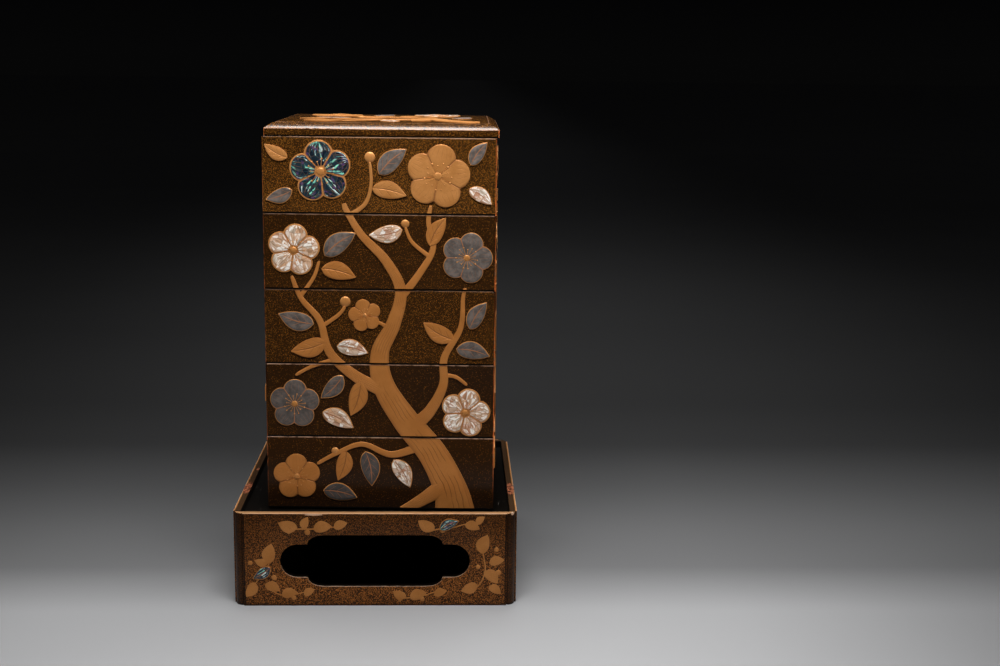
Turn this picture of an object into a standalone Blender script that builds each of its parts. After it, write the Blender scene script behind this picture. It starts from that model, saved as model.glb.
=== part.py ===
"""A tiered lacquer box: five stacking tiers and a lid, standing on a low pierced stand.

Plum branches, blossoms and leaves are built up in raised gold lacquer over the tiers and the lid.
Other blossoms and leaves are cut from pewter, pearl shell and abalone and set on the lacquer.
Metres, +Z up. The origin is on the ground under the middle of the stand, and the front faces -Y.
"""

import math

import bmesh
import bpy
from mathutils import Matrix, Vector

MM = 0.001

# The tiers, each an open box with a shallow foot that sits in the mouth of the tier below
TIER_COUNT = 5
TIER_WIDTH = 225 * MM
TIER_DEPTH = 207.8 * MM
TIER_BODY = 73.5 * MM
TIER_WALL = 7 * MM
TIER_FLOOR = 4 * MM
TIER_CORNER = 1.2 * MM
FOOT_DROP = 1.5 * MM
FOOT_CLEARANCE = 0.5 * MM
REST_GAP = 0.3 * MM

# The lid, a board with a bevelled edge and a flange that sits loosely in the top tier's mouth
LID_SIDE = 7.5 * MM
LID_BEVEL_WIDTH = 10 * MM
LID_BEVEL_RISE = 5.4 * MM
LID_BEVEL_SWELL = 0.8 * MM
LID_BOARD = 6 * MM
LID_FLANGE = 3.5 * MM
LID_SLACK = 5.5 * MM

# The stand, a frame of four walls round a sunk deck, closed below by a board
STAND_HEIGHT = 94.6 * MM
STAND_WALL = 7.1 * MM
DECK_STRIP_SIDE = 19.4 * MM
DECK_STRIP_FRONT = 28 * MM
DECK_DROP = 8.3 * MM
DECK_BOARD = 6 * MM
BOTTOM_BOARD = 5 * MM
BEAD_RADIUS = 8.5 * MM
BEAD_INSET = 1.5 * MM
QUIRK_DEPTH = 0.8 * MM
QUIRK_WIDTH = 1.1 * MM

# The stand's windows, a long slot with round ends and a taller middle
WINDOW_END = 46 * MM
WINDOW_SILL = 20.1 * MM
WINDOW_HEAD = 22.1 * MM
WINDOW_SHOULDER = 9.5 * MM
WINDOW_LOBE_FLAT = 10 * MM
WINDOW_ARC = 16 * MM
CUTTER_OVERRUN = 10 * MM

# How the stack stands in the stand, a little off the middle and a little turned, and how far the
# lid is pushed back and turned on the stack
STACK_SHIFT = Vector((7 * MM, 1.7 * MM, 0))
STACK_TURN = math.radians(-1.77)
LID_SHIFT = 2.3 * MM
LID_TURN = math.radians(1.2)

# The decoration's thicknesses, measured out from the lacquer
GOLD_CREST = 1.1 * MM
GOLD_EDGE = 0.6 * MM
GOLD_ROOT = 1.5 * MM
INLAY_THICKNESS = 0.8 * MM
INLAY_CROWN = 0.25 * MM
PETAL_GAP = 0.7 * MM
RIM_MARGIN = 0.6 * MM
CORNER_MARGIN = 0.8 * MM
LEAST_SCRAP = 2 * MM

# The picture's scale is one motif to a tier's height, or less on a box too narrow for three of them
MOTIF_SHARE_OF_FRONT = 0.328

# Sizes worked out from those above
TIER_PITCH = TIER_BODY + REST_GAP
STAND_WIDTH = TIER_WIDTH + 2 * (DECK_STRIP_SIDE + STAND_WALL)
STAND_DEPTH = TIER_DEPTH + 2 * (DECK_STRIP_FRONT + STAND_WALL)
DECK_TOP = STAND_HEIGHT - DECK_DROP
STACK_BASE = DECK_TOP + REST_GAP + FOOT_DROP
LID_BASE = STACK_BASE + TIER_COUNT * TIER_PITCH
LID_HEIGHT = LID_SIDE + LID_BEVEL_RISE
FOOT_INSET = TIER_WALL + FOOT_CLEARANCE
LID_INSET = TIER_WALL + LID_SLACK
LID_PLACE = Matrix.Translation((0, LID_SHIFT, 0)) @ Matrix.Rotation(LID_TURN, 4, "Z")
MOTIF = min(TIER_PITCH, TIER_WIDTH * MOTIF_SHARE_OF_FRONT)
LID_FIELD = min(TIER_WIDTH, TIER_DEPTH) / 2 - LID_BEVEL_WIDTH

# The picture. Across runs from -1 at a face's left edge to 1 at its right edge, and height counts
# tiers up from the foot of the stack. On the lid both run from the middle to the edge of the field.
# A branch is a list of (across, height, width), with the width as a share of the motif size.
BRANCHES = {
    "front": [
        [(0.66, -0.06, 0.56), (0.62, 0.28, 0.45), (0.46, 0.78, 0.39), (0.22, 1.24, 0.35),
         (0.03, 1.72, 0.29), (0.0, 2.16, 0.24), (0.12, 2.56, 0.19), (0.18, 3.0, 0.15),
         (0.05, 3.4, 0.125), (-0.15, 3.72, 0.1), (-0.28, 4.04, 0.08), (-0.3, 4.14, 0.06)],
        [(0.54, 0.3, 0.24), (0.36, 0.12, 0.17), (0.16, -0.06, 0.13)],
        [(0.24, 1.12, 0.2), (0.42, 1.34, 0.16), (0.55, 1.72, 0.12), (0.56, 2.1, 0.1),
         (0.7, 2.5, 0.075), (0.72, 2.9, 0.055), (0.74, 3.04, 0.05)],
        [(0.06, 1.62, 0.19), (-0.22, 1.84, 0.15), (-0.44, 2.16, 0.115), (-0.52, 2.58, 0.09),
         (-0.68, 2.88, 0.07), (-0.76, 3.18, 0.055)],
        [(0.38, 0.9, 0.13), (0.1, 0.76, 0.09), (-0.16, 0.9, 0.07), (-0.4, 0.76, 0.06),
         (-0.56, 0.62, 0.05)],
        [(0.16, 2.86, 0.12), (0.34, 3.22, 0.095), (0.46, 3.56, 0.08), (0.42, 3.9, 0.065),
         (0.44, 4.12, 0.055)],
        [(-0.26, 3.98, 0.065), (-0.12, 4.14, 0.055), (-0.07, 4.4, 0.045), (-0.08, 4.68, 0.04)],
        [(-0.68, 2.92, 0.06), (-0.57, 3.16, 0.05), (-0.52, 3.38, 0.04)],
        [(-0.51, 2.5, 0.06), (-0.36, 2.66, 0.05), (-0.3, 2.78, 0.045)],
        [(0.1, 2.48, 0.06), (0.0, 2.56, 0.045), (-0.08, 2.62, 0.04)],
        [(-0.4, 2.06, 0.06), (-0.6, 1.96, 0.05), (-0.74, 1.84, 0.045)],
        [(0.55, 1.86, 0.06), (0.66, 1.84, 0.05), (0.76, 1.73, 0.045)],
        [(0.44, 3.44, 0.06), (0.28, 3.64, 0.05), (0.22, 3.84, 0.04)],
    ],
    "right": [
        [(-1.1, 0.6, 0.24), (-0.66, 1.12, 0.18), (-0.36, 1.8, 0.15), (-0.3, 2.5, 0.11),
         (0.0, 3.1, 0.085), (0.2, 3.7, 0.065), (0.26, 4.2, 0.05)],
        [(-0.34, 1.9, 0.12), (0.06, 2.08, 0.09), (0.4, 1.96, 0.07), (0.64, 1.7, 0.05)],
        [(-0.3, 2.6, 0.09), (-0.52, 2.95, 0.065), (-0.6, 3.3, 0.05)],
        [(0.03, 3.14, 0.07), (0.36, 3.12, 0.055), (0.6, 3.36, 0.045)],
    ],
    "left": [
        [(1.1, 1.5, 0.2), (0.62, 1.86, 0.15), (0.2, 2.3, 0.12), (-0.1, 2.9, 0.09),
         (-0.2, 3.5, 0.07), (-0.1, 4.1, 0.05)],
        [(0.3, 2.2, 0.09), (-0.16, 2.1, 0.07), (-0.5, 2.24, 0.05)],
        [(-0.16, 3.2, 0.07), (-0.44, 3.4, 0.055), (-0.56, 3.62, 0.045)],
        [(0.7, 1.8, 0.08), (0.42, 1.42, 0.06), (0.1, 1.2, 0.045)],
    ],
    "back": [
        [(0.8, -0.06, 0.18), (0.5, 0.84, 0.13), (0.14, 1.7, 0.1), (-0.1, 2.5, 0.075), (-0.16, 3.2, 0.05)],
        [(0.1, 1.8, 0.07), (0.4, 2.3, 0.055), (0.52, 2.8, 0.045)],
    ],
    "lid": [
        [(0.98, -0.92, 0.34), (0.66, -0.56, 0.27), (0.5, -0.16, 0.2), (0.2, 0.14, 0.15),
         (-0.16, 0.24, 0.1), (-0.4, 0.4, 0.07)],
        [(0.5, -0.2, 0.15), (0.1, -0.4, 0.1), (-0.3, -0.36, 0.075), (-0.6, -0.22, 0.055)],
        [(0.36, 0.02, 0.11), (0.5, 0.24, 0.08), (0.52, 0.36, 0.05)],
        [(-0.04, -0.4, 0.065), (-0.26, -0.6, 0.055), (-0.44, -0.68, 0.045)],
    ],
}

# A blossom is (face, finish, across, height, radius, turn), with the radius as a share of the motif size
BLOSSOMS = [
    ("front", "gold", 0.5, 4.5, 0.42, 8),
    ("front", "abalone", -0.5, 4.55, 0.4, 24),
    ("front", "pearl", -0.74, 3.52, 0.34, 10),
    ("front", "pewter", 0.75, 3.44, 0.335, 0),
    ("front", "gold", -0.13, 2.66, 0.22, 30),
    ("front", "pewter", -0.75, 1.45, 0.33, 16),
    ("front", "pearl", 0.745, 1.35, 0.33, 4),
    ("front", "gold", -0.74, 0.44, 0.32, 20),
    ("right", "gold", 0.3, 4.5, 0.3, 12),
    ("right", "pewter", -0.6, 3.6, 0.25, 30),
    ("right", "gold", 0.74, 1.5, 0.25, 50),
    ("left", "gold", -0.06, 4.46, 0.29, 22),
    ("left", "pewter", -0.7, 2.42, 0.24, 4),
    ("back", "gold", -0.2, 3.5, 0.28, 40),
    ("lid", "gold", -0.6, 0.58, 0.38, 12),
    ("lid", "pearl", 0.54, 0.69, 0.34, 30),
]

# A leaf is (face, finish, across, height, turn, length): its stem end, the way it points from across,
# in degrees, and its length as a share of the motif size
LEAVES = [
    ("front", "pewter", 0.0, 4.53, 42, 0.46),
    ("front", "gold", -0.06, 4.34, -12, 0.45),
    ("front", "gold", -0.78, 4.72, 150, 0.34),
    ("front", "pewter", -0.75, 4.3, 200, 0.34),
    ("front", "pewter", 0.78, 4.66, 54, 0.34),
    ("front", "pearl", 0.77, 4.34, -34, 0.34),
    ("front", "gold", -0.5, 3.28, -14, 0.46),
    ("front", "pewter", -0.47, 3.46, 36, 0.48),
    ("front", "pearl", 0.19, 3.8, -170, 0.42),
    ("front", "gold", 0.43, 3.6, 60, 0.42),
    ("front", "pewter", 0.78, 2.5, 58, 0.4),
    ("front", "gold", 0.64, 2.34, 150, 0.46),
    ("front", "pewter", -0.58, 2.54, 164, 0.46),
    ("front", "gold", -0.47, 2.3, 196, 0.48),
    ("front", "pearl", -0.37, 2.24, -12, 0.4),
    ("front", "pewter", 0.67, 2.22, -12, 0.43),
    ("front", "gold", -0.17, 1.76, -106, 0.48),
    ("front", "pewter", -0.33, 1.83, -134, 0.4),
    ("front", "pearl", -0.5, 1.34, -28, 0.44),
    ("front", "pewter", -0.13, 0.79, -80, 0.46),
    ("front", "gold", -0.3, 0.8, -106, 0.42),
    ("front", "pearl", 0.12, 0.68, -60, 0.42),
    ("front", "pewter", -0.5, 0.25, -12, 0.44),
    ("right", "pewter", -0.15, 2.62, -14, 0.42),
    ("right", "gold", -0.62, 1.26, 130, 0.4),
    ("right", "gold", 0.24, 3.7, 150, 0.4),
    ("right", "gold", 0.6, 3.36, 30, 0.4),
    ("right", "pewter", 0.16, 1.84, -50, 0.4),
    ("left", "gold", -0.56, 3.6, 110, 0.34),
    ("left", "pewter", 0.06, 2.66, 30, 0.42),
    ("left", "gold", 0.1, 1.2, 200, 0.42),
    ("left", "gold", 0.56, 1.96, 100, 0.4),
    ("back", "gold", 0.52, 2.76, 70, 0.4),
    ("back", "gold", -0.06, 2.3, 170, 0.4),
    ("back", "gold", 0.34, 1.2, 150, 0.42),
    ("lid", "pewter", -0.12, 0.42, 64, 0.46),
    ("lid", "gold", 0.02, 0.12, -150, 0.46),
    ("lid", "pewter", -0.4, -0.04, 172, 0.46),
    ("lid", "gold", -0.6, -0.22, 196, 0.42),
    ("lid", "gold", -0.44, -0.68, 190, 0.5),
    ("lid", "gold", 0.14, 0.2, 48, 0.44),
    ("lid", "gold", 0.42, -0.36, -108, 0.5),
    ("lid", "pearl", 0.0, -0.56, -72, 0.44),
    ("lid", "pewter", 0.78, -0.1, 72, 0.48),
]

# A bud is (face, across, height, radius)
BUDS = [
    ("front", -0.08, 4.74, 0.07),
    ("front", -0.3, 2.84, 0.07),
    ("front", 0.22, 3.88, 0.055),
    ("front", -0.4, 0.8, 0.05),
    ("right", 0.53, 1.91, 0.05),
    ("left", 0.22, 1.19, 0.05),
    ("back", 0.44, 2.32, 0.06),
    ("lid", -0.3, 0.27, 0.055),
]

# The two shell leaves on the stand's front wall: one over the window, at a share of the way from the
# middle to the right corner, and one beside the window, at a share of the stand's height
STAND_LEAF_LENGTH = 19 * MM
STAND_LEAF_OVER = 0.52
STAND_LEAF_BESIDE = 0.36
STAND_LEAF_TURNS = (24, 214)

# Heights out from the lacquer, as (lowest, where a section starts, crest)
GOLD_LEVELS = (-GOLD_ROOT, 0, GOLD_CREST)
INLAY_LEVELS = (REST_GAP, REST_GAP, REST_GAP + INLAY_THICKNESS + INLAY_CROWN)

# The cross-sections of the decoration, from edge to edge, as (share of the width, share of the crest)
TRUNK_SECTION = [(-0.5, 0.55), (-0.24, 1.0), (0.24, 1.0), (0.5, 0.55)]
TWIG_SECTION = [(-0.5, 0.55), (0.0, 1.0), (0.5, 0.55)]
GOLD_LEAF_SECTION = [(-0.5, 0.5), (-0.26, 0.95), (0.0, 0.7), (0.26, 0.95), (0.5, 0.5)]
INLAY_LEAF_SECTION = [(-0.5, 0.72), (0.0, 1.0), (0.5, 0.72)]
TRUNK_LEAST = 0.16
LEAF_WIDTH = 0.52
LEAF_BEND = 0.06
LEAF_STEM_FULLNESS = 0.65
LEAF_TIP_FULLNESS = 0.9
LEAF_TIP = 0.7 * MM
LEAF_STEPS = 4
BRANCH_STEPS = 2
PETALS = 5
PETAL_OFFSET = 0.53
PETAL_RADIUS = 0.47
PETAL_STEPS = 5
BOSS_RADIUS = 0.17
BUD_SIDES = 8


def clear_scene():
    for thing in list(bpy.data.objects):
        bpy.data.objects.remove(thing)


def finish_material(name, colour, roughness, metallic):
    material = bpy.data.materials.new(name)
    material.use_nodes = True
    shader = material.node_tree.nodes["Principled BSDF"]
    shader.inputs["Base Color"].default_value = (*colour, 1)
    shader.inputs["Roughness"].default_value = roughness
    shader.inputs["Metallic"].default_value = metallic
    material.diffuse_color = (*colour, 1)
    return material


def sprinkled_lacquer(name):
    return finish_material(name, (0.07, 0.032, 0.012), 0.32, 0.25)


def pewter(name):
    return finish_material(name, (0.11, 0.105, 0.11), 0.42, 0.8)


def pearl(name):
    return finish_material(name, (0.72, 0.58, 0.5), 0.22, 0.1)


def abalone(name):
    return finish_material(name, (0.03, 0.16, 0.2), 0.2, 0.2)


INLAY_FINISH = {"pewter": pewter, "pearl": pearl, "abalone": abalone}


def link(name, mesh_builder, material=None, parent=None):
    """Make an object from a bmesh, with its faces turned outwards."""
    bmesh.ops.recalc_face_normals(mesh_builder, faces=mesh_builder.faces)
    mesh = bpy.data.meshes.new(name)
    mesh_builder.to_mesh(mesh)
    mesh_builder.free()
    thing = bpy.data.objects.new(name, mesh)
    bpy.context.collection.objects.link(thing)
    if material:
        mesh.materials.append(material)
    thing.parent = parent
    return thing


def loft(rings):
    """Skin a closed body over rings of points, with a flat face at each end."""
    builder = bmesh.new()
    rows = []
    for ring in rings:
        rows.append([builder.verts.new(point) for point in ring])
    for lower, upper in zip(rows, rows[1:]):
        for i in range(len(lower)):
            j = (i + 1) % len(lower)
            builder.faces.new((lower[i], lower[j], upper[j], upper[i]))
    builder.faces.new(rows[0][::-1])
    builder.faces.new(rows[-1])
    return builder


def apply_boolean(target, tools, operation):
    """Join the tools to the target, or cut them out of it, and leave no tool behind."""
    group = bpy.data.collections.new("tools")
    for tool in tools:
        group.objects.link(tool)
        tool.hide_render = True
        tool.display_type = "WIRE"
    modifier = target.modifiers.new(operation.lower(), "BOOLEAN")
    modifier.operation = operation
    modifier.solver = "EXACT"
    modifier.operand_type = "COLLECTION"
    modifier.collection = group
    bpy.context.view_layer.objects.active = target
    bpy.ops.object.modifier_apply(modifier=modifier.name)
    for tool in tools:
        bpy.data.objects.remove(tool)
    bpy.data.collections.remove(group)


def rectangle(width, depth, height, inset=0, corner=0):
    """Points round an upright box at one height, its corners cut by a small flat."""
    x = width / 2 - inset
    y = depth / 2 - inset
    if not corner:
        return [(-x, -y, height), (x, -y, height), (x, y, height), (-x, y, height)]
    points = []
    for side_x, side_y in ((-1, -1), (1, -1), (1, 1), (-1, 1)):
        along = (side_x * (x - corner), side_y * y, height)
        round_the_side = (side_x * x, side_y * (y - corner), height)
        pair = [along, round_the_side]
        if side_x * side_y > 0:
            pair.reverse()
        points += pair
    return points


def block(width, depth, low, high):
    return loft([rectangle(width, depth, low), rectangle(width, depth, high)])


# The stand


def stand_outline():
    """The stand's plan: four flat walls, and at each corner a round bead between two quirks."""
    centre_x = STAND_WIDTH / 2 - BEAD_INSET - BEAD_RADIUS
    centre_y = STAND_DEPTH / 2 - BEAD_INSET - BEAD_RADIUS
    start = math.asin(QUIRK_WIDTH / BEAD_RADIUS)
    bead_steps = 6
    bead = []
    for i in range(bead_steps + 1):
        turn = start + (math.pi / 2 - 2 * start) * i / bead_steps
        bead.append((centre_x + BEAD_RADIUS * math.cos(turn), centre_y + BEAD_RADIUS * math.sin(turn)))
    quirk_x = STAND_WIDTH / 2 - BEAD_INSET - QUIRK_DEPTH
    quirk_y = STAND_DEPTH / 2 - BEAD_INSET - QUIRK_DEPTH
    corner = [(STAND_WIDTH / 2, centre_y), (quirk_x, centre_y), (quirk_x, bead[0][1])]
    corner += bead
    corner += [(bead[-1][0], quirk_y), (centre_x, quirk_y), (centre_x, STAND_DEPTH / 2)]
    outline = []
    for side_x, side_y in ((1, 1), (-1, 1), (-1, -1), (1, -1)):
        points = [(side_x * x, side_y * y) for x, y in corner]
        if side_x * side_y < 0:
            points.reverse()
        outline += points
    return outline


def window_outline(wall_length):
    """A window in one wall, as (distance along from the middle, height), counted anticlockwise."""
    half = wall_length / 2 - WINDOW_END
    low = WINDOW_SILL
    high = STAND_HEIGHT - WINDOW_HEAD
    middle = (low + high) / 2
    slot_radius = (high - low) / 2 - WINDOW_SHOULDER
    end_centre = half - slot_radius
    shoulder = end_centre - WINDOW_LOBE_FLAT
    end_steps = 6
    quarter = []
    for i in range(end_steps + 1):
        turn = math.pi / 2 * i / end_steps
        quarter.append((end_centre + slot_radius * math.cos(turn), middle + slot_radius * math.sin(turn)))
    arc_steps = 4
    for i in range(arc_steps + 1):
        turn = math.pi / 2 * i / arc_steps
        x = shoulder - WINDOW_ARC * (1 - math.cos(turn))
        y = middle + slot_radius + WINDOW_SHOULDER * math.sin(turn)
        quarter.append((x, y))
    outline = []
    for side_x, side_y in ((1, 1), (-1, 1), (-1, -1), (1, -1)):
        points = [(side_x * x, middle + side_y * (y - middle)) for x, y in quarter]
        if side_x * side_y < 0:
            points.reverse()
        shared = outline and math.dist(points[0], outline[-1]) < REST_GAP
        outline += points[1:] if shared else points
    return outline[:-1]


def make_stand():
    outline = stand_outline()
    walls = loft([[(x, y, 0) for x, y in outline], [(x, y, STAND_HEIGHT) for x, y in outline]])
    stand = link("stand", walls, sprinkled_lacquer("stand lacquer"))
    inner_width = STAND_WIDTH - 2 * STAND_WALL
    inner_depth = STAND_DEPTH - 2 * STAND_WALL
    recess = link("recess", block(inner_width, inner_depth, DECK_TOP, STAND_HEIGHT + CUTTER_OVERRUN))
    hollow = link("hollow", block(inner_width, inner_depth, BOTTOM_BOARD, DECK_TOP - DECK_BOARD))
    apply_boolean(stand, [recess, hollow], "DIFFERENCE")
    past_x = STAND_WIDTH / 2 + CUTTER_OVERRUN
    past_y = STAND_DEPTH / 2 + CUTTER_OVERRUN
    through = window_outline(STAND_WIDTH)
    front_back = loft([[(x, side * past_y, z) for x, z in through] for side in (-1, 1)])
    through = window_outline(STAND_DEPTH)
    left_right = loft([[(side * past_x, y, z) for y, z in through] for side in (-1, 1)])
    for cutter in (link("window", front_back), link("side window", left_right)):
        apply_boolean(stand, [cutter], "DIFFERENCE")
    return stand


# The tiers and the lid


def make_tier(number, stack):
    base = STACK_BASE + (number - 1) * TIER_PITCH
    top = base + TIER_BODY
    body = loft([
        rectangle(TIER_WIDTH, TIER_DEPTH, base - FOOT_DROP, FOOT_INSET, TIER_CORNER),
        rectangle(TIER_WIDTH, TIER_DEPTH, base, FOOT_INSET, TIER_CORNER),
        rectangle(TIER_WIDTH, TIER_DEPTH, base, 0, TIER_CORNER),
        rectangle(TIER_WIDTH, TIER_DEPTH, top, 0, TIER_CORNER),
    ])
    name = f"tier_{number}"
    tier = link(name, body, sprinkled_lacquer(f"{name} lacquer"), stack)
    walls = 2 * TIER_WALL
    past_mouth = top + CUTTER_OVERRUN
    inside = block(TIER_WIDTH - walls, TIER_DEPTH - walls, base + TIER_FLOOR, past_mouth)
    apply_boolean(tier, [link("inside", inside, parent=stack)], "DIFFERENCE")
    return tier


def make_lid(stack):
    side_top = LID_BASE + LID_SIDE
    middle_inset = LID_BEVEL_WIDTH / 2 - LID_BEVEL_SWELL / 2
    middle_height = side_top + LID_BEVEL_RISE / 2 + LID_BEVEL_SWELL
    body = loft([
        rectangle(TIER_WIDTH, TIER_DEPTH, LID_BASE - FOOT_DROP, LID_INSET),
        rectangle(TIER_WIDTH, TIER_DEPTH, LID_BASE, LID_INSET),
        rectangle(TIER_WIDTH, TIER_DEPTH, LID_BASE),
        rectangle(TIER_WIDTH, TIER_DEPTH, side_top),
        rectangle(TIER_WIDTH, TIER_DEPTH, middle_height, middle_inset),
        rectangle(TIER_WIDTH, TIER_DEPTH, LID_BASE + LID_HEIGHT, LID_BEVEL_WIDTH),
    ])
    body.transform(LID_PLACE)
    lid = link("lid", body, sprinkled_lacquer("lid lacquer"), stack)
    wall = 2 * (LID_INSET + LID_FLANGE)
    below = LID_BASE - CUTTER_OVERRUN
    recess = block(TIER_WIDTH - wall, TIER_DEPTH - wall, below, LID_BASE + LID_HEIGHT - LID_BOARD)
    recess.transform(LID_PLACE)
    apply_boolean(lid, [link("recess", recess, parent=stack)], "DIFFERENCE")
    return lid


# Where the decoration lies


def face_place(face):
    """A matrix that takes (along, up, out) on one face of the stack to the stack's own axes."""
    ways = {
        "front": ((1, 0, 0), (0, 0, 1), (0, -TIER_DEPTH / 2, STACK_BASE)),
        "right": ((0, 1, 0), (0, 0, 1), (TIER_WIDTH / 2, 0, STACK_BASE)),
        "back": ((-1, 0, 0), (0, 0, 1), (0, TIER_DEPTH / 2, STACK_BASE)),
        "left": ((0, -1, 0), (0, 0, 1), (-TIER_WIDTH / 2, 0, STACK_BASE)),
        "lid": ((1, 0, 0), (0, 1, 0), (0, 0, LID_BASE + LID_HEIGHT)),
    }
    along, up, origin = (Vector(way) for way in ways[face])
    out = along.cross(up)
    place = Matrix.Translation(origin) @ Matrix((along, up, out)).transposed().to_4x4()
    return LID_PLACE @ place if face == "lid" else place


def half_width(face):
    """Half the width of the field that the picture's across runs over."""
    if face == "lid":
        return LID_FIELD
    return (TIER_DEPTH if face in ("left", "right") else TIER_WIDTH) / 2


def spot(face, across, height):
    """A place in the picture, in metres along and up the face."""
    rise = LID_FIELD if face == "lid" else TIER_PITCH
    return Vector((across * half_width(face), height * rise))


def carriers(face, low, high):
    """The names of the pieces that a shape reaches over, each with its lowest and highest line."""
    if face == "lid":
        reach = LID_FIELD - RIM_MARGIN
        return [("lid", -reach, reach)]
    found = []
    for number in range(1, TIER_COUNT + 1):
        bottom = (number - 1) * TIER_PITCH + RIM_MARGIN
        top = bottom + TIER_BODY - 2 * RIM_MARGIN
        if high > bottom + LEAST_SCRAP and low < top - LEAST_SCRAP:
            found.append((f"tier_{number}", bottom, top))
    return found


def trim(builder, side, bottom, top):
    """Cut a shape off at its carrier's edges, and close the cuts."""
    planes = [((-side, 0, 0), (-1, 0, 0)), ((side, 0, 0), (1, 0, 0)),
              ((0, bottom, 0), (0, -1, 0)), ((0, top, 0), (0, 1, 0))]
    for point, way in planes:
        everything = builder.verts[:] + builder.edges[:] + builder.faces[:]
        bmesh.ops.bisect_plane(builder, geom=everything, plane_co=point, plane_no=way, clear_outer=True)
        rim = [edge for edge in builder.edges if edge.is_boundary]
        bmesh.ops.holes_fill(builder, edges=rim, sides=0)


# The decoration's shapes, each drawn at (along, up, out) on its face


def smooth_route(points, steps):
    """A Catmull-Rom curve through the points of a branch, as rows of (along, up, width)."""
    padded = [points[0]] + points + [points[-1]]
    route = []
    for i in range(1, len(padded) - 2):
        before, start, end, after = (Vector(point) for point in padded[i - 1:i + 3])
        for step in range(steps):
            t = step / steps
            route.append(0.5 * (2 * start + (end - before) * t
                                + (2 * before - 5 * start + 4 * end - after) * t ** 2
                                + (3 * start - before - 3 * end + after) * t ** 3))
    route.append(Vector(points[-1]))
    return route


def ribbon(route, section, levels):
    """A raised strip along a route of (along, up, width), with the given cross-section."""
    root, floor, crest = levels
    rings = []
    for i, here in enumerate(route):
        before = route[max(i - 1, 0)]
        after = route[min(i + 1, len(route) - 1)]
        way = (after - before).to_2d().normalized()
        aside = Vector((way.y, -way.x))
        ring = []
        for share, rise in section:
            place = here.to_2d() + aside * share * here.z
            ring.append((place.x, place.y, floor + rise * (crest - floor)))
        last = here.to_2d() + aside * section[-1][0] * here.z
        first = here.to_2d() + aside * section[0][0] * here.z
        ring += [(last.x, last.y, root), (first.x, first.y, root)]
        rings.append(ring)
    return loft(rings)


def branch_shape(face, points):
    places = []
    for across, height, width in points:
        place = spot(face, across, height)
        places.append(Vector((place.x, place.y, width * MOTIF)))
    thick = points[0][2] > TRUNK_LEAST
    section = TRUNK_SECTION if thick else TWIG_SECTION
    return ribbon(smooth_route(places, BRANCH_STEPS), section, GOLD_LEVELS)


def leaf_fullness(t):
    """How wide a leaf is at a share of its length, before it is scaled to its greatest width."""
    return t ** LEAF_STEM_FULLNESS * (1 - t) ** LEAF_TIP_FULLNESS


def leaf_shape(stem, turn, length, section, levels):
    """A pointed leaf, widest before its middle and bent a little to one side."""
    widest = leaf_fullness(LEAF_STEM_FULLNESS / (LEAF_STEM_FULLNESS + LEAF_TIP_FULLNESS))
    way = Vector((math.cos(turn), math.sin(turn)))
    aside = Vector((-way.y, way.x))
    route = []
    for i in range(LEAF_STEPS + 1):
        t = i / LEAF_STEPS
        width = max(LEAF_WIDTH * length * leaf_fullness(t) / widest, LEAF_TIP)
        place = stem + way * t * length + aside * LEAF_BEND * length * math.sin(math.pi * t)
        route.append(Vector((place.x, place.y, width)))
    return ribbon(route, section, levels)


def petal_arc(radius):
    """Half the angle, about a petal's own centre, that its free edge covers in a blossom."""
    reach = PETAL_OFFSET * radius
    half = math.pi / PETALS
    size = PETAL_RADIUS * radius
    notch = reach * math.cos(half) + math.sqrt(size ** 2 - (reach * math.sin(half)) ** 2)
    return math.atan2(notch * math.sin(half), notch * math.cos(half) - reach)


def crowned(outline, peaks, hub, root, edge, crest):
    """A closed plate whose top rises in facets from its outline to its peaks.

    The outline is a list of stretches, one for each peak, and all of them also meet at the hub.
    """
    builder = bmesh.new()
    ring = [point for stretch in outline for point in stretch]
    top = [builder.verts.new((point.x, point.y, edge)) for point in ring]
    foot = [builder.verts.new((point.x, point.y, root)) for point in ring]
    for i in range(len(ring)):
        j = (i + 1) % len(ring)
        builder.faces.new((foot[i], foot[j], top[j], top[i]))
    builder.faces.new(foot[::-1])
    hub_vertex = builder.verts.new((hub.x, hub.y, edge)) if len(peaks) > 1 else None
    start = 0
    for stretch, peak in zip(outline, peaks):
        summit = builder.verts.new((peak.x, peak.y, crest))
        last = start + len(stretch)
        for i in range(start, last if len(peaks) > 1 else last - 1):
            builder.faces.new((top[i], top[(i + 1) % len(ring)], summit))
        if hub_vertex:
            builder.faces.new((top[last % len(ring)], hub_vertex, summit))
            builder.faces.new((hub_vertex, top[start], summit))
        else:
            builder.faces.new((top[last - 1], top[start], summit))
        start = last
    return builder


def blossom_shape(centre, radius, turn, root, edge, crest):
    """A whole five-petalled blossom, its petals domed and meeting in valleys."""
    arc = petal_arc(radius)
    outline = []
    peaks = []
    for k in range(PETALS):
        way = turn + 2 * math.pi * k / PETALS
        middle = centre + PETAL_OFFSET * radius * Vector((math.cos(way), math.sin(way)))
        peaks.append(middle)
        stretch = []
        for i in range(PETAL_STEPS):
            angle = way - arc + 2 * arc * i / PETAL_STEPS
            stretch.append(middle + PETAL_RADIUS * radius * Vector((math.cos(angle), math.sin(angle))))
        outline.append(stretch)
    return crowned(outline, peaks, centre, root, edge, crest)


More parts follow.
